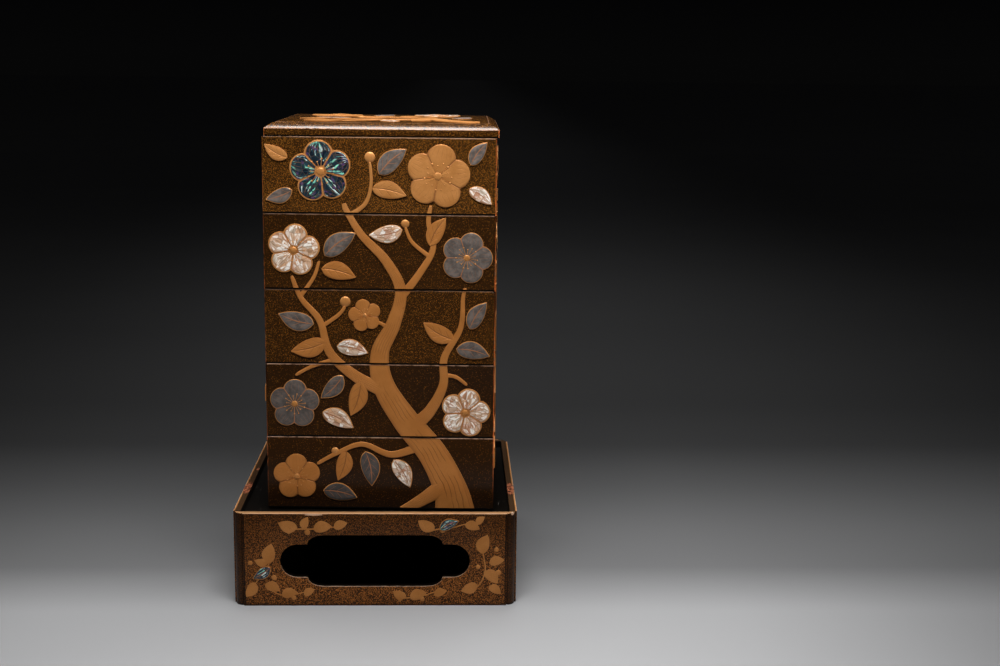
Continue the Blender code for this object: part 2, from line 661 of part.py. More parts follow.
def petal_shape(centre, radius, way, root, edge, crest):
    """One petal of an inlaid blossom, cut clear of its neighbours and of the boss in the middle."""
    half = math.pi / PETALS
    arc = petal_arc(radius)
    size = PETAL_RADIUS * radius
    middle = centre + PETAL_OFFSET * radius * Vector((math.cos(way), math.sin(way)))
    outline = []
    for i in range(PETAL_STEPS + 1):
        angle = way - arc + 2 * arc * i / PETAL_STEPS
        outline.append(middle + size * Vector((math.cos(angle), math.sin(angle))))
    inner = BOSS_RADIUS * radius + PETAL_GAP
    for side in (1, -1):
        angle = way + side * half
        outline.append(centre + inner * Vector((math.cos(angle), math.sin(angle))))
    shrink = 1 - PETAL_GAP / size
    outline = [middle + (point - middle) * shrink for point in outline]
    return crowned([outline], [middle], centre, root, edge, crest)


def disc_shape(centre, radius, root, edge, crest):
    """A bud, or the boss at the heart of a blossom: a low dome."""
    outline = []
    for i in range(BUD_SIDES):
        angle = 2 * math.pi * i / BUD_SIDES
        outline.append(centre + radius * Vector((math.cos(angle), math.sin(angle))))
    return crowned([outline], [centre], centre, root, edge, crest)


# Putting the decoration on its carriers


def place_on_face(name, builder, face, parent, material=None):
    builder.transform(face_place(face))
    return link(name, builder, material, parent)


def raise_gold(draw, face, low, high, stack, raised):
    """Draw a gold shape once for each carrier that it reaches over, trimmed to that carrier."""
    side = half_width(face) - (0 if face == "lid" else TIER_CORNER + CORNER_MARGIN)
    for carrier, bottom, top in carriers(face, low, high):
        builder = draw()
        trim(builder, side, bottom, top)
        if not builder.faces:
            builder.free()
            continue
        raised.setdefault(carrier, []).append(place_on_face("gold", builder, face, stack))


def raise_branches(stack, raised):
    for face, branches in BRANCHES.items():
        for points in branches:
            heights = [spot(face, 0, height).y for _, height, _ in points]
            reach = max(width for _, _, width in points) * MOTIF / 2
            low = min(heights) - reach
            high = max(heights) + reach
            raise_gold(lambda: branch_shape(face, points), face, low, high, stack, raised)


def raise_leaves(stack, raised):
    for face, finish, across, height, turn, length in LEAVES:
        if finish != "gold":
            continue
        stem = spot(face, across, height)
        size = length * MOTIF
        angle = math.radians(turn)

        def draw():
            return leaf_shape(stem, angle, size, GOLD_LEAF_SECTION, GOLD_LEVELS)

        raise_gold(draw, face, stem.y - size, stem.y + size, stack, raised)


def raise_discs(stack, raised):
    """The gold buds, and the gold boss at the heart of each inlaid blossom."""
    discs = list(BUDS)
    for face, finish, across, height, radius, _ in BLOSSOMS:
        if finish in ("pearl", "abalone"):
            discs.append((face, across, height, radius * BOSS_RADIUS))
    for face, across, height, radius in discs:
        centre = spot(face, across, height)
        size = radius * MOTIF

        def draw():
            return disc_shape(centre, size, -GOLD_ROOT, GOLD_EDGE, GOLD_CREST + INLAY_CROWN)

        raise_gold(draw, face, centre.y - size, centre.y + size, stack, raised)


def raise_blossoms(stack, raised):
    for face, finish, across, height, radius, turn in BLOSSOMS:
        if finish != "gold":
            continue
        centre = spot(face, across, height)
        size = radius * MOTIF
        angle = math.radians(turn)

        def draw():
            return blossom_shape(centre, size, angle, -GOLD_ROOT, GOLD_EDGE, GOLD_CREST + INLAY_CROWN)

        raise_gold(draw, face, centre.y - size, centre.y + size, stack, raised)


def set_inlaid_leaves(stack):
    counts = {}
    for face, finish, across, height, turn, length in LEAVES:
        stem = spot(face, across, height)
        if finish == "gold" or not carriers(face, stem.y, stem.y):
            continue
        counts[finish] = counts.get(finish, 0) + 1
        name = f"{finish}_leaf_{counts[finish]}"
        shape = leaf_shape(stem, math.radians(turn), length * MOTIF, INLAY_LEAF_SECTION, INLAY_LEVELS)
        place_on_face(name, shape, face, stack, INLAY_FINISH[finish](name.replace("_", " ")))


def set_inlaid_blossoms(stack):
    counts = {}
    low = REST_GAP
    edge = REST_GAP + INLAY_THICKNESS
    crest = edge + INLAY_CROWN
    for face, finish, across, height, radius, turn in BLOSSOMS:
        centre = spot(face, across, height)
        if finish == "gold" or not carriers(face, centre.y, centre.y):
            continue
        counts[finish] = counts.get(finish, 0) + 1
        size = radius * MOTIF
        name = f"{finish}_blossom_{counts[finish]}"
        if finish == "pewter":
            shape = blossom_shape(centre, size, math.radians(turn), low, edge, crest)
            place_on_face(name, shape, face, stack, pewter(name.replace("_", " ")))
            continue
        for k in range(PETALS):
            way = math.radians(turn) + 2 * math.pi * k / PETALS
            shape = petal_shape(centre, size, way, low, edge, crest)
            petal = f"{name}_petal_{k + 1}"
            place_on_face(petal, shape, face, stack, INLAY_FINISH[finish](petal.replace("_", " ")))


def set_stand_leaves():
    """Two shell leaves among the flat gold sprigs on the stand's front wall."""
    wall = Matrix.Translation((0, -STAND_DEPTH / 2, 0)) @ Matrix(((1, 0, 0), (0, 0, -1), (0, 1, 0))).to_4x4()
    over = Vector((STAND_LEAF_OVER * STAND_WIDTH / 2, STAND_HEIGHT - WINDOW_HEAD / 2))
    bead = BEAD_INSET + BEAD_RADIUS
    beside = Vector((-(STAND_WIDTH - WINDOW_END - bead) / 2, STAND_LEAF_BESIDE * STAND_HEIGHT))
    for i, middle in enumerate((over, beside)):
        turn = math.radians(STAND_LEAF_TURNS[i])
        stem = middle - STAND_LEAF_LENGTH / 2 * Vector((math.cos(turn), math.sin(turn)))
        shape = leaf_shape(stem, turn, STAND_LEAF_LENGTH, INLAY_LEAF_SECTION, INLAY_LEVELS)
        shape.transform(wall)
        name = f"stand_leaf_{i + 1}"
        link(name, shape, abalone(name.replace("_", " ")))


clear_scene()
make_stand()
set_stand_leaves()

stack = bpy.data.objects.new("stack", None)
stack.location = STACK_SHIFT
stack.rotation_euler = (0, 0, STACK_TURN)
bpy.context.collection.objects.link(stack)
bpy.context.view_layer.update()

carrier_pieces = {}
for number in range(1, TIER_COUNT + 1):
    carrier_pieces[f"tier_{number}"] = make_tier(number, stack)
carrier_pieces["lid"] = make_lid(stack)

raised = {}
raise_branches(stack, raised)
raise_leaves(stack, raised)
raise_blossoms(stack, raised)
raise_discs(stack, raised)
for carrier, shapes in raised.items():
    apply_boolean(carrier_pieces[carrier], shapes, "UNION")

set_inlaid_leaves(stack)
set_inlaid_blossoms(stack)
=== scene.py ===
"""A tiered lacquer box on its low stand, in a plain studio. Metres, +Z up, the front faces -Y."""

import math

import bmesh
import bpy
from mathutils import Matrix, Vector


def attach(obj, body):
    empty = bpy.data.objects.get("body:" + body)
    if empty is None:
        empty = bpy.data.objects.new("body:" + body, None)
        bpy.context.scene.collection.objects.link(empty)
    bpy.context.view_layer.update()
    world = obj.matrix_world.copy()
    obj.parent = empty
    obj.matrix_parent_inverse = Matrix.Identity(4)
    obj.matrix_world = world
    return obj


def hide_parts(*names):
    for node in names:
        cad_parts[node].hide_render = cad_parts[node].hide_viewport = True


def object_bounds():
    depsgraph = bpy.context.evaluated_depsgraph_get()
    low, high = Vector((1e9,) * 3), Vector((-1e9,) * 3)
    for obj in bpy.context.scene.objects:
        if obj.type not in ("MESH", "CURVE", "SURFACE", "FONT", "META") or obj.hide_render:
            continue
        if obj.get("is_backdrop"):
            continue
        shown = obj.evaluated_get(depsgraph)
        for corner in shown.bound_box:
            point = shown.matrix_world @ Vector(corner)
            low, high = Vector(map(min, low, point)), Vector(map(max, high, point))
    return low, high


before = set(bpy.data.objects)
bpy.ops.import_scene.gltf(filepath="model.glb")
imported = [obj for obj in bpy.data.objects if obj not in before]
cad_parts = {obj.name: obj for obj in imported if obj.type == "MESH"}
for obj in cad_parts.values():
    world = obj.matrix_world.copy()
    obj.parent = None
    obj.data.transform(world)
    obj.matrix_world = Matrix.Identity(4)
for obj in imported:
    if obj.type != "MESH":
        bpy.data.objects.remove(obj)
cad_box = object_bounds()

# The camera, where a 51.75 mm lens would see the box's corners, seams and rims as the photograph
# shows them. It looks a little down and a little to the right.

CAMERA_PLACE = (0.0729, -1.4849, 0.5350)
CAMERA_PITCH = math.radians(-10.937)
CAMERA_YAW = math.radians(1.999)
CAMERA_ROLL = math.radians(0.676)
CAMERA_LENS = 51.75

bpy.ops.object.camera_add()
camera = bpy.context.object
aim = Matrix.Rotation(-CAMERA_YAW, 4, "Z") @ Matrix.Rotation(math.pi / 2 + CAMERA_PITCH, 4, "X")
camera.matrix_world = Matrix.Translation(CAMERA_PLACE) @ aim @ Matrix.Rotation(CAMERA_ROLL, 4, "Z")
camera.data.lens = CAMERA_LENS
bpy.context.scene.camera = camera


# The lights, soft boxes in a dark room: the key high in front, one straight overhead that draws the
# light line along the lid's bevel and the rims, and weak ones beside and behind, the last of which
# leaves no glint. The room itself is black near the horizon and faintly grey above.

SOFT_BOXES = [
    ("key", (0.05, -0.47, 1.08), (0.0, -0.1, 0.25), 0.5, 0.35, 12.8),
    ("overhead", (0.0, 0.17, 1.5), (0.0, -0.08, 0.465), 0.8, 0.36, 10.2),
    ("left", (-1.3, -0.5, 1.3), (0.0, 0.0, 0.25), 0.7, 0.7, 3.2),
    ("right", (1.3, -0.5, 1.3), (0.0, 0.0, 0.25), 0.7, 0.7, 3.5),
    ("back", (0.2, 1.1, 1.9), (0.0, 0.1, 0.3), 0.8, 0.6, 8.0),
]
GLINTLESS = ("back",)
ROOM_STOPS = [(0.0, (0.0019, 0.0019, 0.0019)), (0.04, (0.0011, 0.0011, 0.0012)),
              (0.14, (0.0011, 0.0011, 0.0012)), (0.6, (0.03, 0.03, 0.031)), (1.0, (0.05, 0.05, 0.052))]


def sum_of(operation, turned=False):
    """A method that adds the Math node for one kind of sum."""
    def add(self, other=0.0):
        first, second = (other, self) if turned else (self, other)
        return self.node("ShaderNodeMath", {"operation": operation}, {0: first, 1: second})
    return add


def connect(tree, node, sockets):
    """Link the sockets that are given wires, and set the others."""
    for name, value in sockets.items():
        if isinstance(value, Wire):
            tree.links.new(value.socket, node.inputs[name])
        else:
            node.inputs[name].default_value = value


class Wire:
    """One output among the nodes of a material. A sum on it adds the Math nodes that work it out."""

    __add__ = __radd__ = sum_of("ADD")
    __sub__ = sum_of("SUBTRACT")
    __rsub__ = sum_of("SUBTRACT", turned=True)
    __mul__ = __rmul__ = sum_of("MULTIPLY")
    __truediv__ = sum_of("DIVIDE")
    __mod__ = sum_of("FLOORED_MODULO")
    __gt__ = sum_of("GREATER_THAN")
    __lt__ = sum_of("LESS_THAN")
    __abs__ = sum_of("ABSOLUTE")
    least = sum_of("MINIMUM")
    most = sum_of("MAXIMUM")

    def __init__(self, owner, socket=None):
        self.owner = owner
        self.socket = socket

    def node(self, kind, settings=None, sockets=None, out=0):
        """Add any other node, with its settings and its sockets' values or wires."""
        tree = self.owner.node_tree
        made = tree.nodes.new(kind)
        for name, value in (settings or {}).items():
            if name != "stops":
                setattr(made, name, value)
                continue
            stops = made.color_ramp.elements
            stops[0].position, stops[0].color = value[0][0], (*value[0][1], 1)
            stops[1].position, stops[1].color = value[-1][0], (*value[-1][1], 1)
            for place, colour in value[1:-1]:
                stops.new(place).color = (*colour, 1)
        connect(tree, made, sockets or {})
        return Wire(self.owner, made.outputs[out])

    def beside(self, out):
        """Another output of the same node."""
        return Wire(self.owner, self.socket.node.outputs[out])

    def fade(self, low, high):
        """Nought below the low value, one above the high one, with a smooth change between."""
        limits = {"Value": self, "From Min": low, "From Max": high}
        return self.node("ShaderNodeMapRange", {"interpolation_type": "SMOOTHSTEP"}, limits)

    def fall(self, low, high):
        """One below the low value, nought above the high one."""
        return 1 - self.fade(low, high)

    def mix(self, first, second):
        """The first colour where this is nought and the second where it is one."""
        ends = {}
        for socket, colour in ((6, first), (7, second)):
            ends[socket] = colour if isinstance(colour, Wire) else (*colour, 1)
        return self.node("ShaderNodeMix", {"data_type": "RGBA"}, {0: self, **ends}, 2)

    def parts(self):
        """The three numbers of a vector or a colour."""
        first = self.node("ShaderNodeSeparateXYZ", {}, {0: self})
        return first, first.beside(1), first.beside(2)

    def noise(self, size, detail=2.0, roughness=0.5):
        """Cloudy noise from 0 to 1 on these coordinates, with patches of about the given size."""
        sockets = {"Vector": self, "Scale": 1 / size, "Detail": detail, "Roughness": roughness}
        return self.node("ShaderNodeTexNoise", {}, sockets)

    def cells(self, size, feature="F1"):
        """How far each point is from the middle, or the edge, of its scattered cell."""
        sockets = {"Vector": self, "Scale": 1 / size}
        return self.node("ShaderNodeTexVoronoi", {"feature": feature}, sockets)


for name, place, target, width, height, power in SOFT_BOXES:
    bpy.ops.object.light_add(type="AREA", location=place)
    lamp = bpy.context.object
    lamp.name = f"{name}_light"
    lamp.rotation_euler = (Vector(target) - Vector(place)).to_track_quat("-Z", "Y").to_euler()
    lamp.data.shape = "RECTANGLE"
    lamp.data.size = width
    lamp.data.size_y = height
    lamp.data.energy = power
    lamp.visible_camera = False
    lamp.visible_glossy = name not in GLINTLESS

room = bpy.data.worlds.new("room")
room.use_nodes = True
heights = Wire(room).node("ShaderNodeTexCoord").parts()[2]
glow = heights.node("ShaderNodeValToRGB", {"stops": ROOM_STOPS}, {0: heights})
connect(room.node_tree, room.node_tree.nodes["Background"], {"Color": glow})
bpy.context.scene.world = room
bpy.context.scene.view_settings.view_transform = "Standard"


# The floor, a long sheet of background paper whose tone is a painted pool of light: pale where the box
# stands, with painted shade greyer to the sides, behind it and well in front of it. It is matt and faintly
# cloudy.

FLOOR_SIZE = 60
FLOOR_NEAR = -0.9
FLOOR_HALFWAY = 1.5
FLOOR_PAINTED_LIGHT_TONES = [(-0.9, 0.03), (-0.5, 0.137), (-0.34, 0.37), (-0.15, 0.33), (-0.03, 0.15), (0.1, 0.12),
               (0.26, 0.073), (0.46, 0.032), (0.7, 0.028), (1.3, 0.044), (2.5, 0.082), (6.8, 0.125),
               (20.0, 0.07)]
FLOOR_MIDDLE = 0.22
FLOOR_SIDE = 1.25
FLOOR_SIDE_SHADE = 0.6
FLOOR_CORNER_SHADE = 0.32


def new_material(name):
    """A new material, as the wire of its place on the object."""
    material = bpy.data.materials.new(name)
    material.use_nodes = True
    return Wire(material).node("ShaderNodeTexCoord", out="Object")


def surface(place, colour, metallic, roughness, gloss=0.5, height=None, depth=0.0, coat=0.0):
    """Set or link the shader's sockets, and emboss it with a height from 0 to 1."""
    material = place.owner
    shader = material.node_tree.nodes["Principled BSDF"]
    sockets = {"Base Color": colour, "Metallic": metallic, "Roughness": roughness,
               "Specular IOR Level": gloss, "Coat Weight": coat, "Coat Roughness": 0.1}
    if height:
        bump = {"Height": height, "Distance": depth, "Strength": 1.0}
        sockets["Normal"] = place.node("ShaderNodeBump", {}, bump)
    connect(material.node_tree, shader, sockets)
    return material


def drawn_together(distance):
    """From 0 at the near end of the paper towards 1 far off, for a number or a wire."""
    return distance / (distance + FLOOR_HALFWAY)


def paper(name):
    """Paper whose tone is a painted pool of light: it follows the distance back, and falls off aside as
    painted shade, most at the near right.
    """
    place = new_material(name)
    x, y, _ = place.parts()
    run = drawn_together(y - FLOOR_NEAR)
    stops = [(drawn_together(far - FLOOR_NEAR), (tone, tone, tone * 1.015)) for far, tone in FLOOR_PAINTED_LIGHT_TONES]
    tone = run.node("ShaderNodeValToRGB", {"stops": stops}, {0: run})
    # Painted shade: the pool of light falls off to the sides, most at the near right, and far in front.
    aside = abs(x - FLOOR_MIDDLE).fade(0.1, FLOOR_SIDE) * FLOOR_SIDE_SHADE
    corner = (x - FLOOR_MIDDLE).fade(0, 0.5) * y.fall(-0.3, 0.3) * FLOOR_CORNER_SHADE
    aside = (aside + corner).most((FLOOR_NEAR - y).fade(0, 4) * 0.95)
    shade = (aside + place.noise(0.5) * 0.08).mix(tone, (0, 0, 0))
    return surface(place, shade, 0.0, 0.9, 0.15)


bpy.ops.mesh.primitive_plane_add(size=FLOOR_SIZE)
floor = bpy.context.object
floor.name = "floor"
floor.data.materials.append(paper("paper with painted light pool"))
floor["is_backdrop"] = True


# The stand, four lacquered boards with a round bead at each corner, each pierced by a long lobed
# window, round a sunk deck. Coarse gold powder is strewn on the outside, the top of the rim is
# solid gold lacquer, and the inside is black.

MM = 0.001
STAND_WIDTH = 278 * MM
STAND_DEPTH = 278 * MM
STAND_HEIGHT = 94.6 * MM
STAND_WALL = 7.1 * MM
STAND_ARRIS = 0.7 * MM
STAND_FLAKE = 0.62 * MM
STAND_SHARE = 0.4
DECK_TOP = 86.3 * MM
INNER = STAND_WIDTH / 2 - STAND_WALL
INSIDE = INNER + 0.2 * MM
WALL_FACE = STAND_WIDTH / 2 - 0.75 * MM
RIM_LEVEL = STAND_HEIGHT - 0.75 * MM
DECK_LEVEL = DECK_TOP - 1 * MM
LIP_LEVEL = DECK_TOP - 5 * MM
FOOT_LEVEL = 1 * MM
WINDOW_HALF = 93 * MM
QUIRK_FROM_CORNER = 10.4 * MM
FRONT_CHIPS = [(-60, 93.4, 19.0, 1.6), (78, 88.2, 3.6, 1.2), (134.5, 93.5, 3.6, 2.8)]
RIM_WEAR = [(-135, -54, 10, 44), (135, -56, 10, 44), (-134, 14, 5, 8)]
STAND_GROUND = (0.019, 0.0066, 0.002)
STAND_GOLD = (0.53, 0.186, 0.04)
QUIRK_PAINTED_SHADE = (0.003, 0.0016, 0.001)
BEAD_TONE = (0.009, 0.004, 0.0018)
FOOT_PAINTED_SHADOW = (0.008, 0.0034, 0.0018)
RIM_THIN = (0.028, 0.014, 0.006)
RIM_PAINTED_HIGHLIGHT = (0.78, 0.45, 0.22)
PALE_WEAR = (0.55, 0.34, 0.22)
PALE_CHIP = (0.62, 0.42, 0.3)
RED_WEAR = ((0.04, 0.01, 0.005), (0.62, 0.2, 0.09))
LIP_TONE = (0.07, 0.026, 0.01)
GOLD_CLOUDS = ((0.5, 0.205, 0.052), (0.62, 0.268, 0.078))
GOLD_GRAIN = (0.36, 0.13, 0.03)
GOLD_THIN = (0.3, 0.095, 0.022)
GOLD_DULL = (0.17, 0.045, 0.006)
BLACK = (0.0028, 0.0019, 0.0012)
SCRATCH = (0.13, 0.11, 0.095)


def set_mode(mode):
    if bpy.context.mode != mode:
        bpy.ops.object.mode_set(mode="EDIT" if mode == "EDIT_MESH" else mode)


def let_go():
    """Leave edit mode, with nothing selected."""
    set_mode("OBJECT")
    bpy.ops.object.select_all(action="DESELECT")


def take(*pieces):
    """Leave edit mode, and select these pieces alone."""
    let_go()
    for piece in pieces:
        piece.select_set(True)
    bpy.context.view_layer.objects.active = pieces[0]


def edit(piece):
    take(piece)
    set_mode("EDIT_MESH")


def edit_all(piece):
    """Edit a piece with all of it selected."""
    edit(piece)
    bpy.ops.mesh.select_all(action="SELECT")


def linked(name, data):
    """A new object of this mesh or curve, in the scene."""
    made = bpy.data.objects.new(name, data)
    bpy.context.scene.collection.objects.link(made)
    return made


def pick(test, kind="FACE"):
    """In edit mode, select only the faces, edges or points that a test on their place and way takes."""
    bpy.ops.mesh.select_mode(type=kind)
    bpy.ops.mesh.select_all(action="DESELECT")
    shape = bmesh.from_edit_mesh(bpy.context.object.data)
    if kind == "FACE":
        found = [(face, face.calc_center_median(), face.normal) for face in shape.faces]
    elif kind == "EDGE":
        found = [(edge, (edge.verts[0].co + edge.verts[1].co) / 2,
                  (edge.verts[1].co - edge.verts[0].co).normalized()) for edge in shape.edges]
    else:
        found = [(vertex, vertex.co, vertex.normal) for vertex in shape.verts]
    for element, place, way in found:
        if test(place, way):
            element.select_set(True)
    shape.select_flush_mode()
    bmesh.update_edit_mesh(bpy.context.object.data)


def paint(piece, index, test):
    """Give one of a piece's materials to the faces that a test takes."""
    edit(piece)
    pick(test)
    piece.active_material_index = index
    bpy.ops.object.material_slot_assign()
    set_mode("OBJECT")


def finish_with(piece, kind, **settings):
    """Add a modifier and apply it."""
    take(piece)
    modifier = piece.modifiers.new(kind.lower(), kind)
    for name, value in settings.items():
        setattr(modifier, name, value)
    bpy.ops.object.modifier_apply(modifier=modifier.name)


def ease(piece, width, segments=3, angle=40):
    """Round a piece's arrises, and shade it smooth between them."""
    finish_with(piece, "BEVEL", width=width, segments=segments, limit_method="ANGLE",
                angle_limit=math.radians(angle), harden_normals=False)
    bpy.ops.object.shade_smooth_by_angle(angle=math.radians(angle))


def sprinkled_lacquer(name, ground, gold, share, flake, wear, rough=0.3, gloss=0.2):
    """Gold powder strewn in dark lacquer and polished flush, worn where a mask says so."""
    place = new_material(name)
    askew = place.node("ShaderNodeMapping", {}, {"Vector": place, "Rotation": (0.6, 0.4, 0.9)})
    near = askew.cells(flake)
    lot = near.beside("Color").parts()[0]
    far = askew.cells(flake * 1.9)
    far_lot = far.beside("Color").parts()[1]
    thick = place.noise(28 * MM).fade(0.3, 0.7) * 0.4 + 0.8
    fine = (lot + share * thick > 1) * near.fall(0.35, 0.7)
    coarse = (far_lot + share * 0.5 * thick > 1) * far.fall(0.2, 0.42)
    dust = place.noise(flake * 0.7, 1.0).fade(0.4, 0.7) * share * 0.4
    bright = min(0.4 + 2.2 * share, 1)
    powder = (fine * bright).most(coarse * (0.3 + share)).most(dust)
    deep = [part * 0.7 for part in ground]
    colour = powder.mix(place.noise(46 * MM).mix(ground, deep), gold)
    colour, worn = wear(place, colour)
    hazed = rough + place.noise(12 * MM) * 0.06 + worn * 0.2
    return surface(place, colour, powder * 0.5 * (1 - worn), hazed, gloss, powder, 0.02 * MM)


def gold_tone(place):
    """The tone of gold powder lacquer: cloudy, finely grained, and thin and red in places."""
    cloud = place.noise(17 * MM, 3.0).fade(0.3, 0.7)
    tone = cloud.mix(*GOLD_CLOUDS)
    grain = place.noise(0.7 * MM, 2.0)
    tone = (grain.fade(0.42, 0.66) * 0.25).mix(tone, GOLD_GRAIN)
    thin = place.noise(5 * MM, 4.0, 0.62).fade(0.62, 0.76) * 0.6
    return thin.mix(tone, GOLD_THIN), grain


def gold_lacquer(name, dulled=0.0):
    place = new_material(name)
    tone, grain = gold_tone(place)
    tone = (grain * dulled).mix(tone, GOLD_DULL)
    return surface(place, tone, 0.35, 0.42, 0.4 * (1 - dulled), grain, 0.04 * MM)


def blots(across, up, marks, rag, raggedness, core):
    """One over each ragged oval, listed as its two distances and its two widths in millimetres."""
    mask = rag * 0
    for middle, level, wide, high in marks:
        off = abs(across - middle * MM) / (wide * MM / 2)
        rise = abs(up - level * MM) / (high * MM / 2)
        mask = mask.most((off * off + rise * rise + (rag - 0.5) * raggedness).fall(core, 1.0))
    return mask


def front_chips(place):
    """One over the small chips at the top of the front wall."""
    x, y, z = place.parts()
    return blots(x, z, FRONT_CHIPS, place.noise(2.4 * MM), 1.4, 0.7) * (y < 6 * MM - STAND_DEPTH / 2)


def stand_wear(place, colour):
    """Quirks painted dark as the shade in their grooves, painted shade darker towards the top, darker beads,
    a painted contact shadow along the foot, and chips below the rim.
    """
    x, y, z = place.parts()
    from_corner = (STAND_WIDTH / 2 - abs(x)).most(STAND_DEPTH / 2 - abs(y))
    past = from_corner - QUIRK_FROM_CORNER
    quirk = past.fade(-0.3 * MM, 0) * past.fall(1.0 * MM, 1.6 * MM)
    bead = past.fall(-1.0 * MM, 0)
    # Painted shade, darker towards the top.
    shade = z.fade(25 * MM, 100 * MM) * 0.6
    colour = shade.mix(colour, STAND_GROUND)
    colour = (bead * 0.72).mix(colour, BEAD_TONE)
    # Painted shade in the quirks' grooves.
    colour = (quirk * 0.85).mix(colour, QUIRK_PAINTED_SHADE)
    # A painted contact shadow along the foot.
    foot = z.fall(0.6 * MM, 2.6 * MM) * 0.8
    colour = foot.mix(colour, FOOT_PAINTED_SHADOW)
    worn = front_chips(place)
    return worn.mix(colour, PALE_WEAR), worn


def rim_gold(name):
    """The rim's gold, thin along its middle, brightened along the front by a painted highlight, and rubbed
    through to red lacquer where it is handled.
    """
    place = new_material(name)
    x, y, _ = place.parts()
    tone, _ = gold_tone(place)
    edge = (STAND_WIDTH / 2 - abs(x)).least(STAND_DEPTH / 2 - abs(y))
    front = y < STAND_WALL - STAND_DEPTH / 2
    thin = edge.fade(0.9 * MM, 1.9 * MM) * (0.95 - front * 0.55)
    # Along the front the gold is painted brighter, as a highlight, and thinned less.
    tone = thin.mix((front * 0.5).mix(tone, RIM_PAINTED_HIGHLIGHT), RIM_THIN)
    rubbed = edge.fall(0.3 * MM, 0.8 * MM) * place.noise(9 * MM, 3.0, 0.6).fade(0.25, 0.5) * 0.9
    tone = rubbed.mix(tone, PALE_WEAR)
    rag = place.noise(3.2 * MM, 4.0, 0.7)
    tone = blots(x, y, RIM_WEAR, rag, 3.4, 0.6).mix(tone, rag.fade(0.42, 0.56).mix(*RED_WEAR))
    tone = front_chips(place).mix(tone, PALE_CHIP)
    return surface(place, tone, 0.3, 0.4, 0.4, rag, 0.1 * MM)


def lip_painted_highlight(name):
    """A painted highlight, pale along the windows' lower lips where they face up into the light."""
    place = new_material(name)
    rag = place.noise(6 * MM, 4.0, 0.65)
    colour = (rag.fade(0.25, 0.6) * 0.8).mix(LIP_TONE, PALE_WEAR)
    return surface(place, colour, 0.0, 0.36, height=rag, depth=0.1 * MM)


def black_lacquer(name, shine):
    """Plain black lacquer, with a few hair scratches."""
    place = new_material(name)
    turned = place.node("ShaderNodeMapping", {}, {"Vector": place, "Rotation": (0.3, 0.9, 0.5),
                                                  "Scale": (1.0, 0.06, 0.3)})
    streak = turned.noise(1.6 * MM, 3.0).fade(0.62, 0.72) * place.noise(30 * MM).fade(0.48, 0.6)
    colour = (streak * 0.7 * shine).mix(BLACK, SCRATCH)
    return surface(place, colour, 0.0, 0.5 - 0.25 * shine, 0.35 * shine)


def far_out(place):
    """How far a place is from the stand's middle, towards the nearest wall."""
    return max(abs(place.x), abs(place.y))


def at_window(place):
    """Whether a place is in a wall and neither in a corner nor under it."""
    beside = min(abs(place.x), abs(place.y)) < WINDOW_HALF + 0.5 * MM
    return beside and far_out(place) > INNER - 1 * MM and place.z > FOOT_LEVEL


stand = linked("stand_frame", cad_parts["stand"].data.copy())
stand.data.materials.clear()
for material in (sprinkled_lacquer("stand lacquer", STAND_GROUND, STAND_GOLD, STAND_SHARE, STAND_FLAKE,
                                   stand_wear, gloss=0.12),
                 rim_gold("rim gold"), black_lacquer("deck lacquer", 0.7),
                 black_lacquer("inside lacquer", 0.0), lip_painted_highlight("lip painted highlight")):
    stand.data.materials.append(material)
edit_all(stand)
bpy.ops.mesh.remove_doubles(threshold=0.01 * MM)
bpy.ops.mesh.dissolve_limited(angle_limit=math.radians(0.5))
ease(stand, STAND_ARRIS)
paint(stand, 0, lambda place, way: True)
paint(stand, 1, lambda place, way: place.z > RIM_LEVEL)
paint(stand, 2, lambda place, way: far_out(place) < INSIDE and DECK_LEVEL < place.z < RIM_LEVEL)
paint(stand, 3, lambda place, way: far_out(place) < INSIDE and FOOT_LEVEL < place.z < DECK_LEVEL)
paint(stand, 3, lambda place, way: at_window(place) and far_out(place) < WALL_FACE
      and place.z < DECK_LEVEL)
# The windows' upward lower lips get the painted highlight.
paint(stand, 4, lambda place, way: at_window(place) and far_out(place) > WALL_FACE
      and place.z < LIP_LEVEL and way.z > 0.2)
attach(stand, "root")
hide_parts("stand")


# The tiers, five open boxes of wood, lacquered dark and strewn with fine gold powder, black inside. Each has
# a shallow foot that sits in the mouth of the tier below. Their arrises are rubbed pale, partly as painted
# highlights, and a painted shadow darkens each lower edge at its seam.

TIER_COUNT = 5
TIER_WIDTH = 225 * MM
TIER_DEPTH = 207.8 * MM
TIER_BODY = 73.5 * MM
TIER_WALL = 7 * MM
TIER_FLOOR = 4 * MM
TIER_CORNER = 1.2 * MM
TIER_ARRIS = 0.5 * MM
TIER_FLAKE = 0.5 * MM
TIER_PITCH = 73.8 * MM
FOOT_DROP = 1.5 * MM
FOOT_INSET = 7.5 * MM
SEAM_BAND = 1.6 * MM
STACK_BASE = 88.1 * MM
STACK_SHIFT = Vector((7 * MM, 1.7 * MM, 0))
STACK_TURN = math.radians(-1.77)
TIER_GROUND = (0.0222, 0.0077, 0.0016)
TIER_GOLD = (0.56, 0.215, 0.03)
# The tiers' shares of gold powder differ, and run lower on the lower tiers as painted shade where less light
# falls.
TIER_SHARES_AND_SHADE = (0.045, 0.06, 0.14, 0.085, 0.24)
# Strength of the pale upper arris line on each tier, partly rubbed wear and partly painted highlight.
TIER_RUBS_AND_HIGHLIGHTS = (0.95, 0.8, 0.2, 0.45, 0.55)
TIER_CHIPS = {3: (1, 2.6 * MM), 4: (1, 1.7 * MM), 2: (-1, 1.2 * MM)}
SEAM_PAINTED_SHADOW = (0.0012, 0.0008, 0.0006)
ARRIS_WEAR_AND_HIGHLIGHT = (0.4, 0.235, 0.155)
SLIVER_AND_RIM_LIGHT_TONES = ((0.62, 0.14, 0.03), (0.8, 0.46, 0.26))


